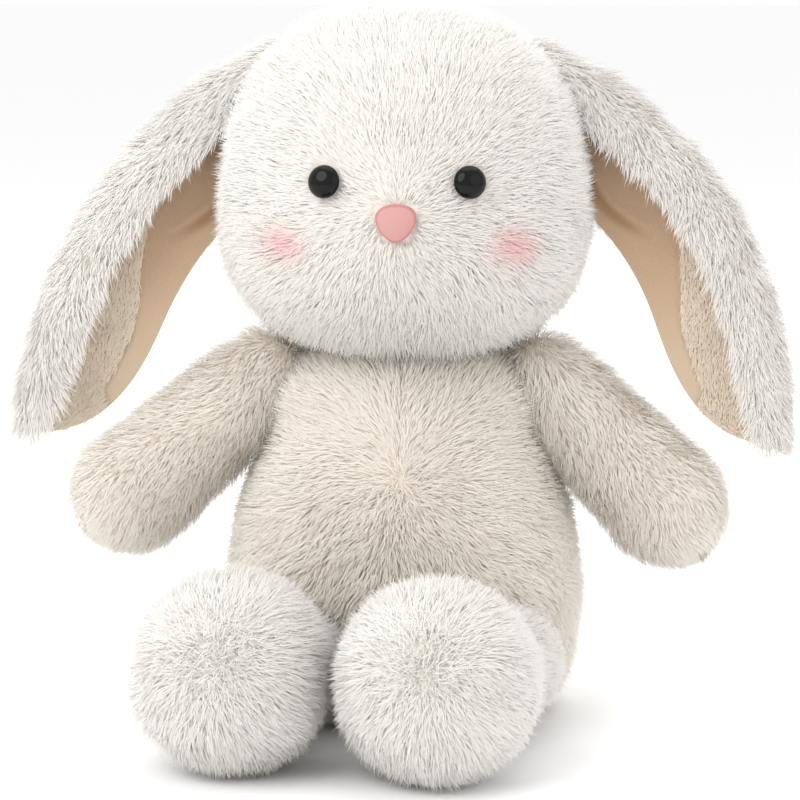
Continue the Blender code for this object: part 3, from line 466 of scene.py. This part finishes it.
def sheet_mesh(outer, inner):
    """Points and outward faces of a thin closed sheet between two grids."""
    rows, columns = outer.shape[:2]
    points = np.concatenate([outer.reshape(-1, 3), inner.reshape(-1, 3)])
    front = grid_faces(rows, columns)
    back = front[:, ::-1] + rows * columns
    faces = np.concatenate([front, back, rim_faces(rows, columns)])
    du = outer[rows // 2, columns // 2 + 1] - outer[rows // 2, columns // 2]
    dv = outer[rows // 2 + 1, columns // 2] - outer[rows // 2, columns // 2]
    out = outer[rows // 2, columns // 2] - inner[rows // 2, columns // 2]
    if np.dot(np.cross(du, dv), out) < 0:
        faces = faces[:, ::-1]
    return points, faces


# ---------------------------------------------------------------- pile

RINGS = 2
SIDES_OF_FIBRE = 3
SHARES = np.array([0.0, 0.50, 1.0])


def scatter(points, normals, count):
    """Random places on a grid of points: positions, normals and a function that reads any grid there."""
    rows, columns = points.shape[:2]
    a, b = points[:-1, :-1], points[:-1, 1:]
    c, d = points[1:, 1:], points[1:, :-1]
    area = 0.5 * np.linalg.norm(np.cross(c - a, d - b), axis=-1)
    chance = area.ravel() / area.sum()
    cell = rng.choice(chance.size, size=count, p=chance)
    r, k = cell // (columns - 1), cell % (columns - 1)
    u, v = rng.random((2, count, 1))
    def between(values):
        low = values[r, k] * (1 - u) + values[r, k + 1] * u
        high = values[r + 1, k] * (1 - u) + values[r + 1, k + 1] * u
        return low * (1 - v) + high * v
    return between(points), unit(between(normals)), between


def grid_area(points):
    a, b = points[:-1, :-1], points[:-1, 1:]
    c, d = points[1:, 1:], points[1:, :-1]
    return float(0.5 * np.linalg.norm(np.cross(c - a, d - b), axis=-1).sum())


def turned_about(v, axis, angle):
    c, s = np.cos(angle)[:, None], np.sin(angle)[:, None]
    return v * c + np.cross(axis, v) * s + axis * np.sum(v * axis, axis=-1, keepdims=True) * (1 - c)


def seam_share(points, half_width=0.0016):
    """1 at the middle seam, 0 beyond it."""
    return np.exp(-(points[:, 0] / half_width) ** 2)


def wandering(points, size, seed):
    """A smooth value near -1 to 1 that changes over about size metres."""
    local = np.random.default_rng(seed)
    total = np.zeros(len(points))
    for _ in range(5):
        wave = unit(local.normal(size=3)) * 2 * math.pi / (size * local.uniform(0.8, 1.8))
        total += np.sin(points @ wave + local.uniform(0, 6.28))
    return total / 2.6


def fibres(roots, normals, flow, length, lean, curl, width, clump=0.45, clump_size=55, blush=None,
           whorl=None):
    """Curved tapering fibres. flow is the combed direction at each root, lean and curl the angle from the
    normal at the root and how much it grows towards the tip."""
    count = len(roots)
    flow = unit(flow - normals * np.sum(flow * normals, axis=-1, keepdims=True))
    flow = turned_about(flow, normals, rng.normal(0, 0.26, count) + 0.34 * wandering(roots, 0.022, 4))
    length = length * rng.uniform(0.66, 1.15, count) * (1 + 0.10 * wandering(roots, 0.014, 5))
    lean = lean + rng.normal(0, 0.17, count) + 0.10 * wandering(roots, 0.012, 6)
    if whorl is not None:
        near = np.exp(-(np.linalg.norm(roots - whorl[0], axis=1) / whorl[1]) ** 2)
        flow = turned_about(flow, normals, near * rng.uniform(-2.6, 2.6, count))
        lean = lean * (1 - 0.35 * near)
    stray = rng.random(count) < 0.10
    lean = np.where(stray, lean * 0.72, lean)
    places = [roots]
    for i in range(RINGS):
        step = SHARES[i + 1] - SHARES[i]
        angle = lean + curl * 0.5 * (SHARES[i + 1] + SHARES[i])
        move = normals * np.cos(angle)[:, None] + flow * np.sin(angle)[:, None]
        places.append(places[-1] + move * (length * step)[:, None])
    places = np.stack(places, axis=1)
    if clump:
        leaders = rng.choice(count, max(2, count // clump_size), replace=False)
        nearest = np.empty(count, np.int64)
        for first in range(0, count, 4000):
            block = roots[first:first + 4000]
            gap = ((block[:, None] - roots[leaders][None]) ** 2).sum(-1)
            nearest[first:first + 4000] = leaders[gap.argmin(1)]
        pull = clump * rng.uniform(0.4, 1.0, count)[:, None, None] * (SHARES**1.4)[None, :, None]
        places = places + (places[nearest] - places) * pull
    along = np.gradient(places, axis=1)
    along = unit(along)
    side = unit(np.cross(along, normals[:, None]))
    up = np.cross(side, along)
    radius = width * 0.5 * np.array([0.85, 1.0])[None, :] * rng.uniform(0.75, 1.2, (count, 1))
    rings = []
    outs = []
    for corner in range(SIDES_OF_FIBRE):
        angle = 2 * math.pi * corner / SIDES_OF_FIBRE + 0.5 * math.pi
        out = side[:, :RINGS] * math.cos(angle) + up[:, :RINGS] * (0.20 * math.sin(angle))
        rings.append(places[:, :RINGS] + out * radius[..., None])
        outs.append(out)
    body = np.stack(rings, axis=2).reshape(count, RINGS * SIDES_OF_FIBRE, 3)
    points = np.concatenate([body, places[:, RINGS:]], axis=1)
    points[..., 2] = np.maximum(points[..., 2], FLOOR_GAP)
    outs = np.stack(outs, axis=2).reshape(count, RINGS * SIDES_OF_FIBRE, 3)
    outs = np.concatenate([outs, along[:, RINGS:]], axis=1)
    shading = unit(outs * 0.16 + normals[:, None] * 0.90 + SKYWARD)
    per = RINGS * SIDES_OF_FIBRE + 1
    faces = [(0, 1, 2)]
    for i in range(RINGS - 1):
        for corner in range(SIDES_OF_FIBRE):
            a = i * SIDES_OF_FIBRE + corner
            b = i * SIDES_OF_FIBRE + (corner + 1) % SIDES_OF_FIBRE
            faces.append((b, a, a + SIDES_OF_FIBRE, b + SIDES_OF_FIBRE))
    last = (RINGS - 1) * SIDES_OF_FIBRE
    for corner in range(SIDES_OF_FIBRE):
        faces.append((last + (corner + 1) % SIDES_OF_FIBRE, last + corner, per - 1))
    share = np.concatenate([np.repeat(SHARES[:RINGS], SIDES_OF_FIBRE), [1.0]])
    colour = np.empty((count, per, 4), np.float32)
    # red: share along the fibre, which the pile material turns into painted shade at the root
    colour[..., 0] = share[None]
    colour[..., 1] = rng.random(count)[:, None]
    colour[..., 2] = 0 if blush is None else blush[:, None] * (0.25 + 0.75 * share[None])
    colour[..., 3] = 1
    under = unit(normals * 0.55 - up.mean(axis=1) * 1.0)
    return points.reshape(-1, 3), faces, shading.reshape(-1, 3), colour.reshape(-1, 4), per, count, under


def plush_piece(name, backing, pile_sets, materials):
    """One object: the backing sheet (points, faces) and the fibres on it. materials are backing then pile."""
    sheet_points, sheet_faces = backing
    points = [sheet_points]
    loops = [sheet_faces.reshape(-1)]
    totals = [np.full(len(sheet_faces), 4)]
    slots = [np.zeros(len(sheet_faces), np.int32)]
    shading = [np.zeros((len(sheet_points), 3))]
    colour = [np.tile(np.array([0.3, 0.5, 0.0, 1.0], np.float32), (len(sheet_points), 1))]
    start = len(sheet_points)
    undersides = []
    for k, (p, faces, normals, shades, per, count, under) in enumerate(pile_sets):
        corners = np.concatenate([np.array(f) for f in faces])
        loops.append((np.arange(count)[:, None] * per + corners[None] + start).reshape(-1))
        below = np.concatenate([np.full(len(f), i > 0 and (i - 1) % SIDES_OF_FIBRE == 1)
                                for i, f in enumerate(faces)])
        undersides.append((np.tile(below, count), np.repeat(under, len(below), axis=0)))
        totals.append(np.tile(np.array([len(f) for f in faces]), count))
        slots.append(np.full(len(faces) * count, k + 1, np.int32))
        points.append(p)
        shading.append(normals)
        colour.append(shades)
        start += len(p)
    points, loops, totals = np.concatenate(points), np.concatenate(loops), np.concatenate(totals)
    mesh = bpy.data.meshes.new(name)
    mesh.vertices.add(len(points))
    mesh.vertices.foreach_set("co", points.astype(np.float32).ravel())
    mesh.loops.add(len(loops))
    mesh.loops.foreach_set("vertex_index", loops.astype(np.int32))
    mesh.polygons.add(len(totals))
    mesh.polygons.foreach_set("loop_start", np.concatenate([[0], np.cumsum(totals)[:-1]]).astype(np.int32))
    mesh.polygons.foreach_set("loop_total", totals.astype(np.int32))
    mesh.polygons.foreach_set("material_index", np.concatenate(slots))
    mesh.update(calc_edges=True)
    mesh.validate()
    for m in materials:
        mesh.materials.append(m)
    attribute = mesh.attributes.new("pile", "FLOAT_COLOR", "POINT")
    attribute.data.foreach_set("color", np.concatenate(colour).astype(np.float32).ravel())
    mesh.shade_smooth()
    own = np.zeros(len(points) * 3, np.float32)
    mesh.vertices.foreach_get("normal", own)
    shading = np.concatenate(shading)
    blank = np.linalg.norm(shading, axis=1) < 0.1
    shading[blank] = own.reshape(-1, 3)[blank]
    by_loop = shading[loops]
    first = loops.size - sum(len(below) for below, _ in undersides)
    for below, under in undersides:
        part = by_loop[first:first + len(below)]
        part[below] = under[below]
        first += len(below)
    mesh.normals_split_custom_set(by_loop.astype(np.float32))
    obj = bpy.data.objects.new(name, mesh)
    bpy.context.scene.collection.objects.link(obj)
    return obj


def panel(form, turns, rises, rows, columns, depth=SKIN_DEPTH):
    """Grids of a panel: (outer points, inner points, normals)."""
    u, v = np.meshgrid(np.linspace(*turns, columns), np.linspace(*rises, rows))
    outer, inner = form(u, v, depth), form(u, v, depth + SKIN_THICKNESS)
    return outer, inner, grid_normals(outer, form(u, v, depth - 0.001))


DENSITY = 2.2e6  # fibres per square metre


def covered(name, grids, flow, settings, materials, node, keep=None, blush=None):
    """Makes a plush panel. flow is a function of the roots or a grid of directions,
    length may be a function of the roots, and keep says which roots stay."""
    outer, inner, normals = grids
    settings = dict(settings)
    count = int(grid_area(outer) * DENSITY * settings.pop("density", 1.0))
    roots, up, between = scatter(outer, normals, count)
    combed = flow(roots) if callable(flow) else between(flow)
    length = settings.pop("length")
    if callable(length):
        length = length(roots)
    elif isinstance(length, np.ndarray):
        length = between(length[..., None])[:, 0]
    else:
        length = np.full(count, length)
    if isinstance(keep, np.ndarray):
        stay = between(keep[..., None])[:, 0] > 0.5
    else:
        stay = keep(roots) if keep else np.full(count, True)
    roots, up, combed, length = roots[stay], up[stay], combed[stay], length[stay]
    share = blush(roots) if blush else None
    made = fibres(roots, up, combed, length, blush=share, **settings)
    obj = plush_piece(name, sheet_mesh(outer, inner), [made], materials)
    if node:
        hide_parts(node)
    return obj


def away_from(centre, down=0.0):
    centre = np.array(centre)
    def flow(points):
        return unit(points - centre) + np.array([0, 0, -down])
    return flow


def smooth_step(value, low, high):
    t = np.clip((value - low) / (high - low), 0, 1)
    return t * t * (3 - 2 * t)


# ---------------------------------------------------------------- head

NOSE_PLACE = np.array([0.0, face_front(0, HEAD_LEVEL + NOSE_RISE), HEAD_LEVEL + NOSE_RISE])
EYE_PLACES = [np.array(face_frame(s * EYE_SPREAD, HEAD_LEVEL + EYE_RISE).translation) for s in (1, -1)]
CLUMP = 0.18  # how far the strands of one tuft lean together, the same on every panel
BLUSH_PLACES = [np.array([s * 0.0385, 0.0, 0.1855]) for s in (1, -1)]


def face_length(roots):
    """Short pile round the nose and eyes, long on the cheeks, crown and back."""
    away = np.linalg.norm(roots - NOSE_PLACE, axis=1)
    for eye in EYE_PLACES:
        away = np.minimum(away, 0.010 + np.linalg.norm(roots - eye, axis=1))
    chin = 1 - smooth_step(roots[:, 2], 0.142, 0.165)
    return (0.0058 + 0.0042 * smooth_step(away, 0.010, 0.055) + 0.0030 * chin
            - 0.0030 * seam_share(roots) * smooth_step(roots[:, 2], 0.235, 0.262))


def off_features(roots):
    """Roots that lie clear of the eyes and the nose."""
    clear = np.full(len(roots), True)
    for eye in EYE_PLACES:
        clear &= np.linalg.norm((roots - eye)[:, [0, 2]], axis=1) + 10 * (roots[:, 1] > 0) > 0.0052
    x, z = roots[:, 0], roots[:, 2] - (HEAD_LEVEL + NOSE_RISE)
    on_nose = (np.abs(x) < 0.0078 - 0.25 * np.abs(z - 0.006)) & (np.abs(z) < 0.0062) & (roots[:, 1] < 0)
    return clear & ~on_nose


def blush_share(roots):
    share = np.zeros(len(roots))
    for place in BLUSH_PLACES:
        dx, dz = roots[:, 0] - place[0], roots[:, 2] - place[2]
        share = np.maximum(share, np.exp(-((dx / 0.0075) ** 2 + (dz / 0.0052) ** 2)))
    return 0.74 * share * (roots[:, 1] < -0.01)


def head_flow(roots):
    out = unit(roots - NOSE_PLACE) + np.array([0, 0, -0.18])
    out[:, 2] -= 0.5 * (1 - smooth_step(roots[:, 2], 0.145, 0.175))
    return out


HEAD_PILE = {"length": face_length, "lean": 0.62, "curl": 0.75, "width": 0.00038, "clump": CLUMP,
             "density": 0.92}
for piece, first in (("back_of_head_left", 0.75), ("face_left", 0.0), ("face_right", 0.25),
                     ("back_of_head_right", 0.5)):
    grids = panel(head_form, (first, first + 0.25), (0.115, 0.992), 56, 34)
    made = covered("plush_" + piece, grids, head_flow, HEAD_PILE, [WHITE_BACK, WHITE_PILE], piece,
                   keep=off_features, blush=blush_share)
    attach(made, "head")


def revolve(name, profile, matrix, material, count=48):
    """A closed turned form. profile runs from axis to axis as (radius, height)."""
    ring = np.linspace(0, 2 * math.pi, count, endpoint=False)
    points, faces = [], []
    middle = profile[1:-1]
    for radius, height in middle:
        points += [(radius * math.cos(a), radius * math.sin(a), height) for a in ring]
    for r in range(len(middle) - 1):
        for i in range(count):
            j = (i + 1) % count
            faces.append((r * count + j, r * count + i, (r + 1) * count + i, (r + 1) * count + j))
    points += [(0, 0, profile[0][1]), (0, 0, profile[-1][1])]
    last = (len(middle) - 1) * count
    for i in range(count):
        j = (i + 1) % count
        faces.append((len(points) - 2, i, j))
        faces.append((len(points) - 1, last + j, last + i))
    obj = mesh_of(name, at(matrix, np.array(points)), faces, [material])
    obj.data.set_sharp_from_angle(angle=math.radians(50))
    return obj


for side, sign in SIDES.items():
    place = face_frame(sign * EYE_SPREAD, HEAD_LEVEL + EYE_RISE)
    dome = [(0, FIT_GAP + EYE_DOME)]
    for a in np.linspace(0.09, 0.5 * math.pi, 16):
        dome.append((EYE_RADIUS * math.sin(a), FIT_GAP + 0.0005 + (EYE_DOME - 0.0005) * math.cos(a)))
    dome += [(EYE_RADIUS - 0.0001, FIT_GAP + 0.0002), (EYE_RADIUS - 0.0005, FIT_GAP)]
    dome += [(SHANK_RADIUS, FIT_GAP), (SHANK_RADIUS, -SHANK_LENGTH), (0, -SHANK_LENGTH)]
    eye = revolve("eye_dome_" + side, dome, place, EYE_GLOSS)
    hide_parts("eye_" + side)
    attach(eye, "head")


def nose_outline(share):
    angle = 2 * math.pi * share
    narrow = 1 - 0.46 * (0.5 - 0.5 * math.sin(angle)) ** 1.3
    return NOSE_HALF_WIDTH * float(power(math.cos(angle), 0.86)) * narrow, 0.5 * NOSE_HEIGHT * math.sin(angle)


def build_nose():
    count = 72
    middle = HEAD_LEVEL + NOSE_RISE
    levels = [(1.0, -0.0030), (1.0, 0.0004), (1.015, 0.0009), (1.0, 0.0015), (0.95, 0.0019)]
    levels += [(s, 0.0016 + NOSE_PUFF * 0.55 * (1 - s**2.6))
               for s in (0.90, 0.82, 0.70, 0.56, 0.40, 0.24, 0.10)]
    points, faces, slots = [], [], []
    for share, lift in levels:
        for i in range(count):
            x, z = nose_outline(i / count)
            fold = 0.00016 * math.sin(2 * math.pi * i / count * 36) if 0.9 < share else 0
            at_face = face_front(x * share, middle + z * share)
            points.append((x * share, at_face - FIT_GAP - lift - fold, middle + z * share))
    for r in range(len(levels) - 1):
        for i in range(count):
            j = (i + 1) % count
            faces.append((r * count + i, r * count + j, (r + 1) * count + j, (r + 1) * count + i))
            slots.append(1 if r < 5 else 0)
    points.append((0, face_front(0, middle) - FIT_GAP - 0.0016 - NOSE_PUFF * 0.55, middle))
    points.append((0, face_front(0, middle) + 0.0030, middle))
    last = (len(levels) - 1) * count
    for i in range(count):
        j = (i + 1) % count
        faces.append((last + i, last + j, len(points) - 2))
        faces.append((j, i, len(points) - 1))
        slots += [0, 1]
    nose = mesh_of("nose_velvet_pad", points, faces, [NOSE_VELVET, NOSE_THREAD], slots)
    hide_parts("nose")
    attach(nose, "head")


build_nose()

# ---------------------------------------------------------------- torso and tail

WHORL = np.array([0.001, -0.055, 0.096])


def nape_share(roots):
    """1 behind the neck, where the pile is longer and combed up, and 0 over the rest of the torso."""
    return smooth_step(roots[:, 2], 0.116, 0.130) * smooth_step(roots[:, 1], -0.010, 0.012)


def torso_flow(roots):
    flow = unit(roots - WHORL) + np.array([0, 0, -0.30])
    nape = nape_share(roots)
    flow[:, 2] += 1.6 * nape
    return flow


def torso_length(roots):
    chest = smooth_step(roots[:, 2], 0.094, 0.108) * (roots[:, 1] < 0)
    nape = nape_share(roots)
    return 0.0084 - 0.0034 * chest * seam_share(roots) + 0.0065 * nape


TORSO_PILE = {"whorl": (WHORL, 0.013), "length": torso_length, "lean": 0.70, "curl": 0.70,
              "width": 0.00037, "clump": CLUMP, "density": 0.92}
for piece, first in (("back_left", 0.75), ("belly_left", 0.0), ("belly_right", 0.25), ("back_right", 0.5)):
    grids = panel(torso_form, (first, first + 0.25), (0.002, 0.985), 52, 32)
    made = covered("plush_" + piece, grids, torso_flow, TORSO_PILE, [CREAM_BACK, CREAM_PILE], piece)
    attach(made, "torso")


def seat_form(turn, share, depth):
    """The flat underside, from the middle out."""
    edge = torso_form(turn, 0 * turn, PLUSH * 0.6)
    made = edge * share[..., None]
    made[..., 2] = depth
    return made


def seat_panel():
    u, v = np.meshgrid(np.linspace(0, 1, 60), np.linspace(0.02, 1.0, 16))
    outer, inner = seat_form(u, v, 0.0022), seat_form(u, v, 0.0040)
    normals = np.zeros_like(outer)
    normals[..., 2] = -1
    settings = {"length": 0.0060, "lean": 1.25, "curl": 0.25, "width": 0.00037, "density": 0.6}
    made = covered("plush_seat_panel", (outer, inner, normals), lambda p: unit(p + 1e-6), settings,
                   [CREAM_BACK, CREAM_PILE], "seat_panel")
    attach(made, "torso")


seat_panel()

tail_back = torso_size(TAIL_HEIGHT)[2]
TAIL_CENTRE = np.array([0, tail_back + TAIL_STAND * TAIL_RADIUS, TAIL_HEIGHT])


def tail_form(turn, rise, depth=0.0):
    level = np.pi * (rise - 0.5)
    around = 2 * np.pi * turn
    radius = TAIL_RADIUS - depth
    out = np.stack([np.cos(level) * np.cos(around), np.sin(level), np.cos(level) * np.sin(around)], axis=-1)
    return TAIL_CENTRE + radius * out


tail = covered("plush_tail", panel(tail_form, (0, 1), (0.27, 0.985), 26, 60),
               away_from(TAIL_CENTRE + np.array([0, 0.9 * TAIL_RADIUS, 0.004])),
               {"length": 0.0085, "lean": 0.45, "curl": 0.75, "width": 0.00037, "clump": CLUMP,
                "density": 0.95},
               [WHITE_BACK, WHITE_PILE], "tail")
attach(tail, "torso")

# ---------------------------------------------------------------- limbs


def shoulder(side):
    z = TORSO_HEIGHT - SHOULDER_DROP
    return Vector((SIDES[side] * (torso_size(z)[0] + ARM_ROOT_RADIUS - SHOULDER_INSET), 0, z))


def hip(side):
    return Vector((SIDES[side] * (FOOT_RADIUS + 0.5 * FOOT_SPLIT), -HIP_FORWARD - LEG_LEAD[side], HIP_HEIGHT))


def arm_direction(side):
    flat, drop = math.cos(ARM_DROOP[side]), math.sin(ARM_DROOP[side])
    return Vector((SIDES[side] * flat * math.cos(ARM_LEAN), -flat * math.sin(ARM_LEAN), -drop))


def leg_direction():
    lift = math.asin((FOOT_RADIUS - HIP_HEIGHT) / LEG_LENGTH)
    return Vector((-math.sin(LEG_TOE_TURN) * math.cos(lift), -math.cos(LEG_TOE_TURN) * math.cos(lift),
                   math.sin(lift)))


for side, sign in SIDES.items():
    centre, along = shoulder(side), arm_direction(side)
    form = limb_form(limb_frame(centre, along), arm_profile, ARM_FLATNESS)
    root_place = np.array(centre)
    def arm_length(roots):
        return 0.0084 + 0.0026 * (1 - smooth_step(np.linalg.norm(roots - root_place, axis=1), 0.016, 0.036))
    settings = {"length": arm_length, "lean": 0.60, "curl": 0.70, "width": 0.00037, "clump": CLUMP,
                "density": 0.92}
    combed = np.array(along) + np.array([0, 0, -0.35])
    front = 0.75 if sign > 0 else 0.25
    for name, first in (("front", front), ("back", front + 0.5)):
        grids = panel(form, (first, first + 0.5), (0.01, 0.995), 48, 36)
        made = covered(f"plush_arm_{name}_{side}", grids, lambda p: np.tile(combed, (len(p), 1)), settings,
                       [CREAM_BACK, CREAM_PILE], f"arm_{name}_{side}")
        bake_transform(made)

for side, sign in SIDES.items():
    centre, along = hip(side), leg_direction()
    matrix = limb_frame(centre, along)
    form = limb_form(matrix, leg_profile)
    tip = matrix @ Vector((0, FOOT_RADIUS * 0.90 * math.sin(math.radians(22)),
                           LEG_LENGTH + FOOT_RADIUS * 0.90 * math.cos(math.radians(22))))
    settings = {"whorl": (np.array(tip), 0.017), "length": 0.0090, "lean": 0.52, "curl": 0.80,
                "width": 0.00038, "clump": CLUMP, "density": 0.92}
    rows = leg_profile(0)
    lengths = np.concatenate([[0], np.cumsum(np.linalg.norm(np.diff(rows, axis=0), axis=1))])
    sole = float(np.interp(LEG_LENGTH + FOOT_RADIUS * math.sin(SOLE_ANGLE), rows[:, 0], lengths)
                 / lengths[-1])
    outer_first = 0.25 if sign > 0 else 0.75
    parts = [(f"leg_outer_{side}", (outer_first, outer_first + 0.5), (0.01, sole)),
             (f"leg_inner_{side}", (outer_first + 0.5, outer_first + 1.0), (0.01, sole)),
             (f"foot_panel_{side}", (0, 1), (sole, 0.997))]
    for name, turns, rises in parts:
        grids = panel(form, turns, rises, 48 if turns[1] - turns[0] < 0.9 else 20,
                      40 if turns[1] - turns[0] < 0.9 else 64)
        made = covered("plush_" + name, grids, away_from(tip, 0.05), settings,
                       [WHITE_BACK, WHITE_PILE], name)
        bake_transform(made)

# ---------------------------------------------------------------- ears

EAR_OUTSIDE = LINING + FIT_GAP + PLUSH
for side, sign in SIDES.items():
    ear = ear_form(side)
    length = ear_length(side)
    def outside(across, distance, depth=0.0):
        return ear(across, distance, EAR_OUTSIDE - depth)
    across = np.sin(np.linspace(-0.5 * math.pi, 0.5 * math.pi, 40))
    along = -EAR_TUCK * 0.7 + (length * 0.997 + EAR_TUCK * 0.7) * np.sin(np.linspace(0, 0.5 * math.pi, 64))
    u, v = np.meshgrid(across, along)
    outer, inner = outside(u, v, SKIN_DEPTH), outside(u, v, EAR_OUTSIDE - LINING - FIT_GAP * 0.5)
    normals = grid_normals(outer, outside(u, v, SKIN_DEPTH - 0.001))
    down = unit(np.gradient(outer, axis=0))
    over = unit(np.gradient(outer, axis=1))
    edgewise = np.where(u > 0, np.abs(u) ** 1.5 * 0.75, -np.abs(u) ** 3 * 0.25)
    flow = down * 0.9 + over * edgewise[..., None]
    lengths = 0.0090 - 0.0055 * smooth_step(-u, 0.72, 0.95) * smooth_step(v / length, 0.25, 0.55)
    fringe = np.where((u < -0.955) & (v > 0.42 * length), 0.0, 1.0)
    settings = {"length": lengths, "lean": 0.60, "curl": 0.75, "width": 0.00038, "clump": CLUMP,
                "density": 0.95}
    made = covered("plush_ear_" + side, (outer, inner, normals), flow, settings, [WHITE_BACK, WHITE_PILE],
                   "ear_plush_" + side, keep=fringe)
    start, end = Vector(ear(0.0, -0.016, 0.0)), Vector(ear(0.0, 0.008, 0.0))
    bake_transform(made)
    fine_u, fine_v = np.meshgrid(np.sin(np.linspace(-0.5 * math.pi, 0.5 * math.pi, 90)),
                                 np.linspace(along[0], along[-1], 130))
    share = fine_v / length
    pleat_at = -0.80 - 0.10 * np.sin(np.pi * np.clip((share - 0.14) / 0.30, 0, 1))
    pleat = smooth_step(share, 0.10, 0.20) * (1 - smooth_step(share, 0.34, 0.46))
    crease = 0.0012 * pleat * (np.exp(-((fine_u - pleat_at) / 0.022) ** 2)
                               - 0.9 * np.exp(-((fine_u - pleat_at - 0.05) / 0.035) ** 2))
    border_at = -0.60 - 0.26 * smooth_step(share, 0.36, 0.72) - 0.20 * smooth_step(share, 0.86, 0.95)
    seam = 0.0007 * np.exp(-((fine_u - border_at) / 0.012) ** 2) * smooth_step(share, 0.28, 0.36)
    lining_points, lining_faces = sheet_mesh(ear(fine_u, fine_v, LINING), ear(fine_u, fine_v, crease + seam))
    lining = mesh_of("lining_" + side, lining_points, lining_faces, [LINING_VELOUR])
    tone = lining.data.attributes.new("tone", "FLOAT_COLOR", "POINT")
    light = smooth_step(share, 0.45, 0.98)
    shadow = np.maximum(pleat * np.exp(-((fine_u - pleat_at) / 0.035) ** 2),
                        0.5 * (1 - smooth_step(share, 0.05, 0.30)))
    tones = np.stack([light, shadow, 0 * light, 1 + 0 * light], axis=-1).reshape(-1, 4)
    tone.data.foreach_set("color", np.concatenate([tones, tones]).astype(np.float32).ravel())
    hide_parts("ear_lining_" + side)
    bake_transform(lining)
    inside = ear(u, v, 0.0)
    inward = -grid_normals(inside, ear(u, v, 0.001))
    roots, up, between = scatter(inside, inward, int(grid_area(inside) * DENSITY * 1.5))
    at_u, at_v = between(u[..., None])[:, 0], between(v[..., None])[:, 0] / length
    border = -0.60 - 0.26 * smooth_step(at_v, 0.36, 0.72) - 0.20 * smooth_step(at_v, 0.86, 0.95)
    stay = (at_u > border) & (at_u < -0.30) & (at_v > 0.30) & (at_u > -0.985)
    combed = between(down * 1.0 - over * 0.2)
    band_pile = fibres(roots[stay], up[stay], combed[stay], np.full(int(stay.sum()), 0.0040),
                       0.70, 0.65, 0.00040, 0.15)
    band = plush_piece("ear_band_" + side, (lining_points[:0], lining_faces[:0]), [band_pile],
                       [BAND_PILE, BAND_PILE])
    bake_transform(band)

# ---------------------------------------------------------------- carried-over CAD nodes

for node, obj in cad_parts.items():
    if "stuffing" in node:
        chosen = FIBRE_FILL
    elif "washer" in node:
        chosen = WASHER_PLASTIC
    elif node == "pellet_pouch":
        chosen = POUCH_COTTON
    else:
        continue
    for i in range(len(obj.material_slots)):
        obj.material_slots[i].material = chosen

# ---------------------------------------------------------------- floor, light and camera


def stage_material(name, colour):
    made, tree, shader = new_material(name, 0.9)
    shader.inputs["Base Color"].default_value = (*colour, 1)
    shader.inputs["Specular IOR Level"].default_value = 0.1
    return made


def build_floor():
    """A wide pale floor with nothing standing on it, so every side of the object stays in view."""
    half = FLOOR_HALF_WIDTH
    points = [(-half, -half, 0.0), (half, -half, 0.0), (half, half, 0.0), (-half, half, 0.0)]
    floor = mesh_of("floor", points, [(0, 1, 2, 3)], [stage_material("floor_white", (0.96, 0.96, 0.96))])


def area_light(name, place, aim, size, power_w, colour=(1, 1, 1)):
    light = bpy.data.lights.new(name, "AREA")
    light.shape = "DISK"
    light.size = size
    light.energy = power_w
    light.color = colour
    obj = bpy.data.objects.new(name, light)
    obj.location = place
    obj.rotation_euler = (Vector(aim) - Vector(place)).to_track_quat("-Z", "Y").to_euler()
    bpy.context.scene.collection.objects.link(obj)


build_floor()
area_light("key", (-0.85, -1.05, 1.15), (0, 0, 0.12), 1.5, 14.5, (1.0, 0.995, 0.985))
area_light("fill", (1.3, -1.0, 0.7), (0, 0, 0.12), 1.6, 3.0)
area_light("back", (0.6, 1.5, 0.9), (0, 0, 0.12), 1.6, 9.0)
area_light("top", (0.1, 0.35, 1.5), (0, 0, 0.1), 1.6, 6.0)

world = bpy.data.worlds.new("studio")
world.use_nodes = True
world.node_tree.nodes["Background"].inputs["Color"].default_value = (1.0, 1.0, 1.0, 1)
world.node_tree.nodes["Background"].inputs["Strength"].default_value = 1.0
bpy.context.scene.world = world
bpy.context.scene.view_settings.view_transform = "Standard"

CAMERA_TURN, CAMERA_RISE, CAMERA_DISTANCE = math.radians(3), math.radians(8), 1.3
aim = Vector((-0.0018, 0, 0.120))
camera = bpy.data.cameras.new("camera")
camera.sensor_width = 36
camera.lens = 151.2
camera.clip_start = 0.05
camera_object = bpy.data.objects.new("camera", camera)
camera_object.location = aim + CAMERA_DISTANCE * Vector((
    math.sin(CAMERA_TURN) * math.cos(CAMERA_RISE), -math.cos(CAMERA_TURN) * math.cos(CAMERA_RISE),
    math.sin(CAMERA_RISE)))
camera_object.rotation_euler = (aim - camera_object.location).to_track_quat("-Z", "Y").to_euler()
bpy.context.scene.collection.objects.link(camera_object)
bpy.context.scene.camera = camera_object
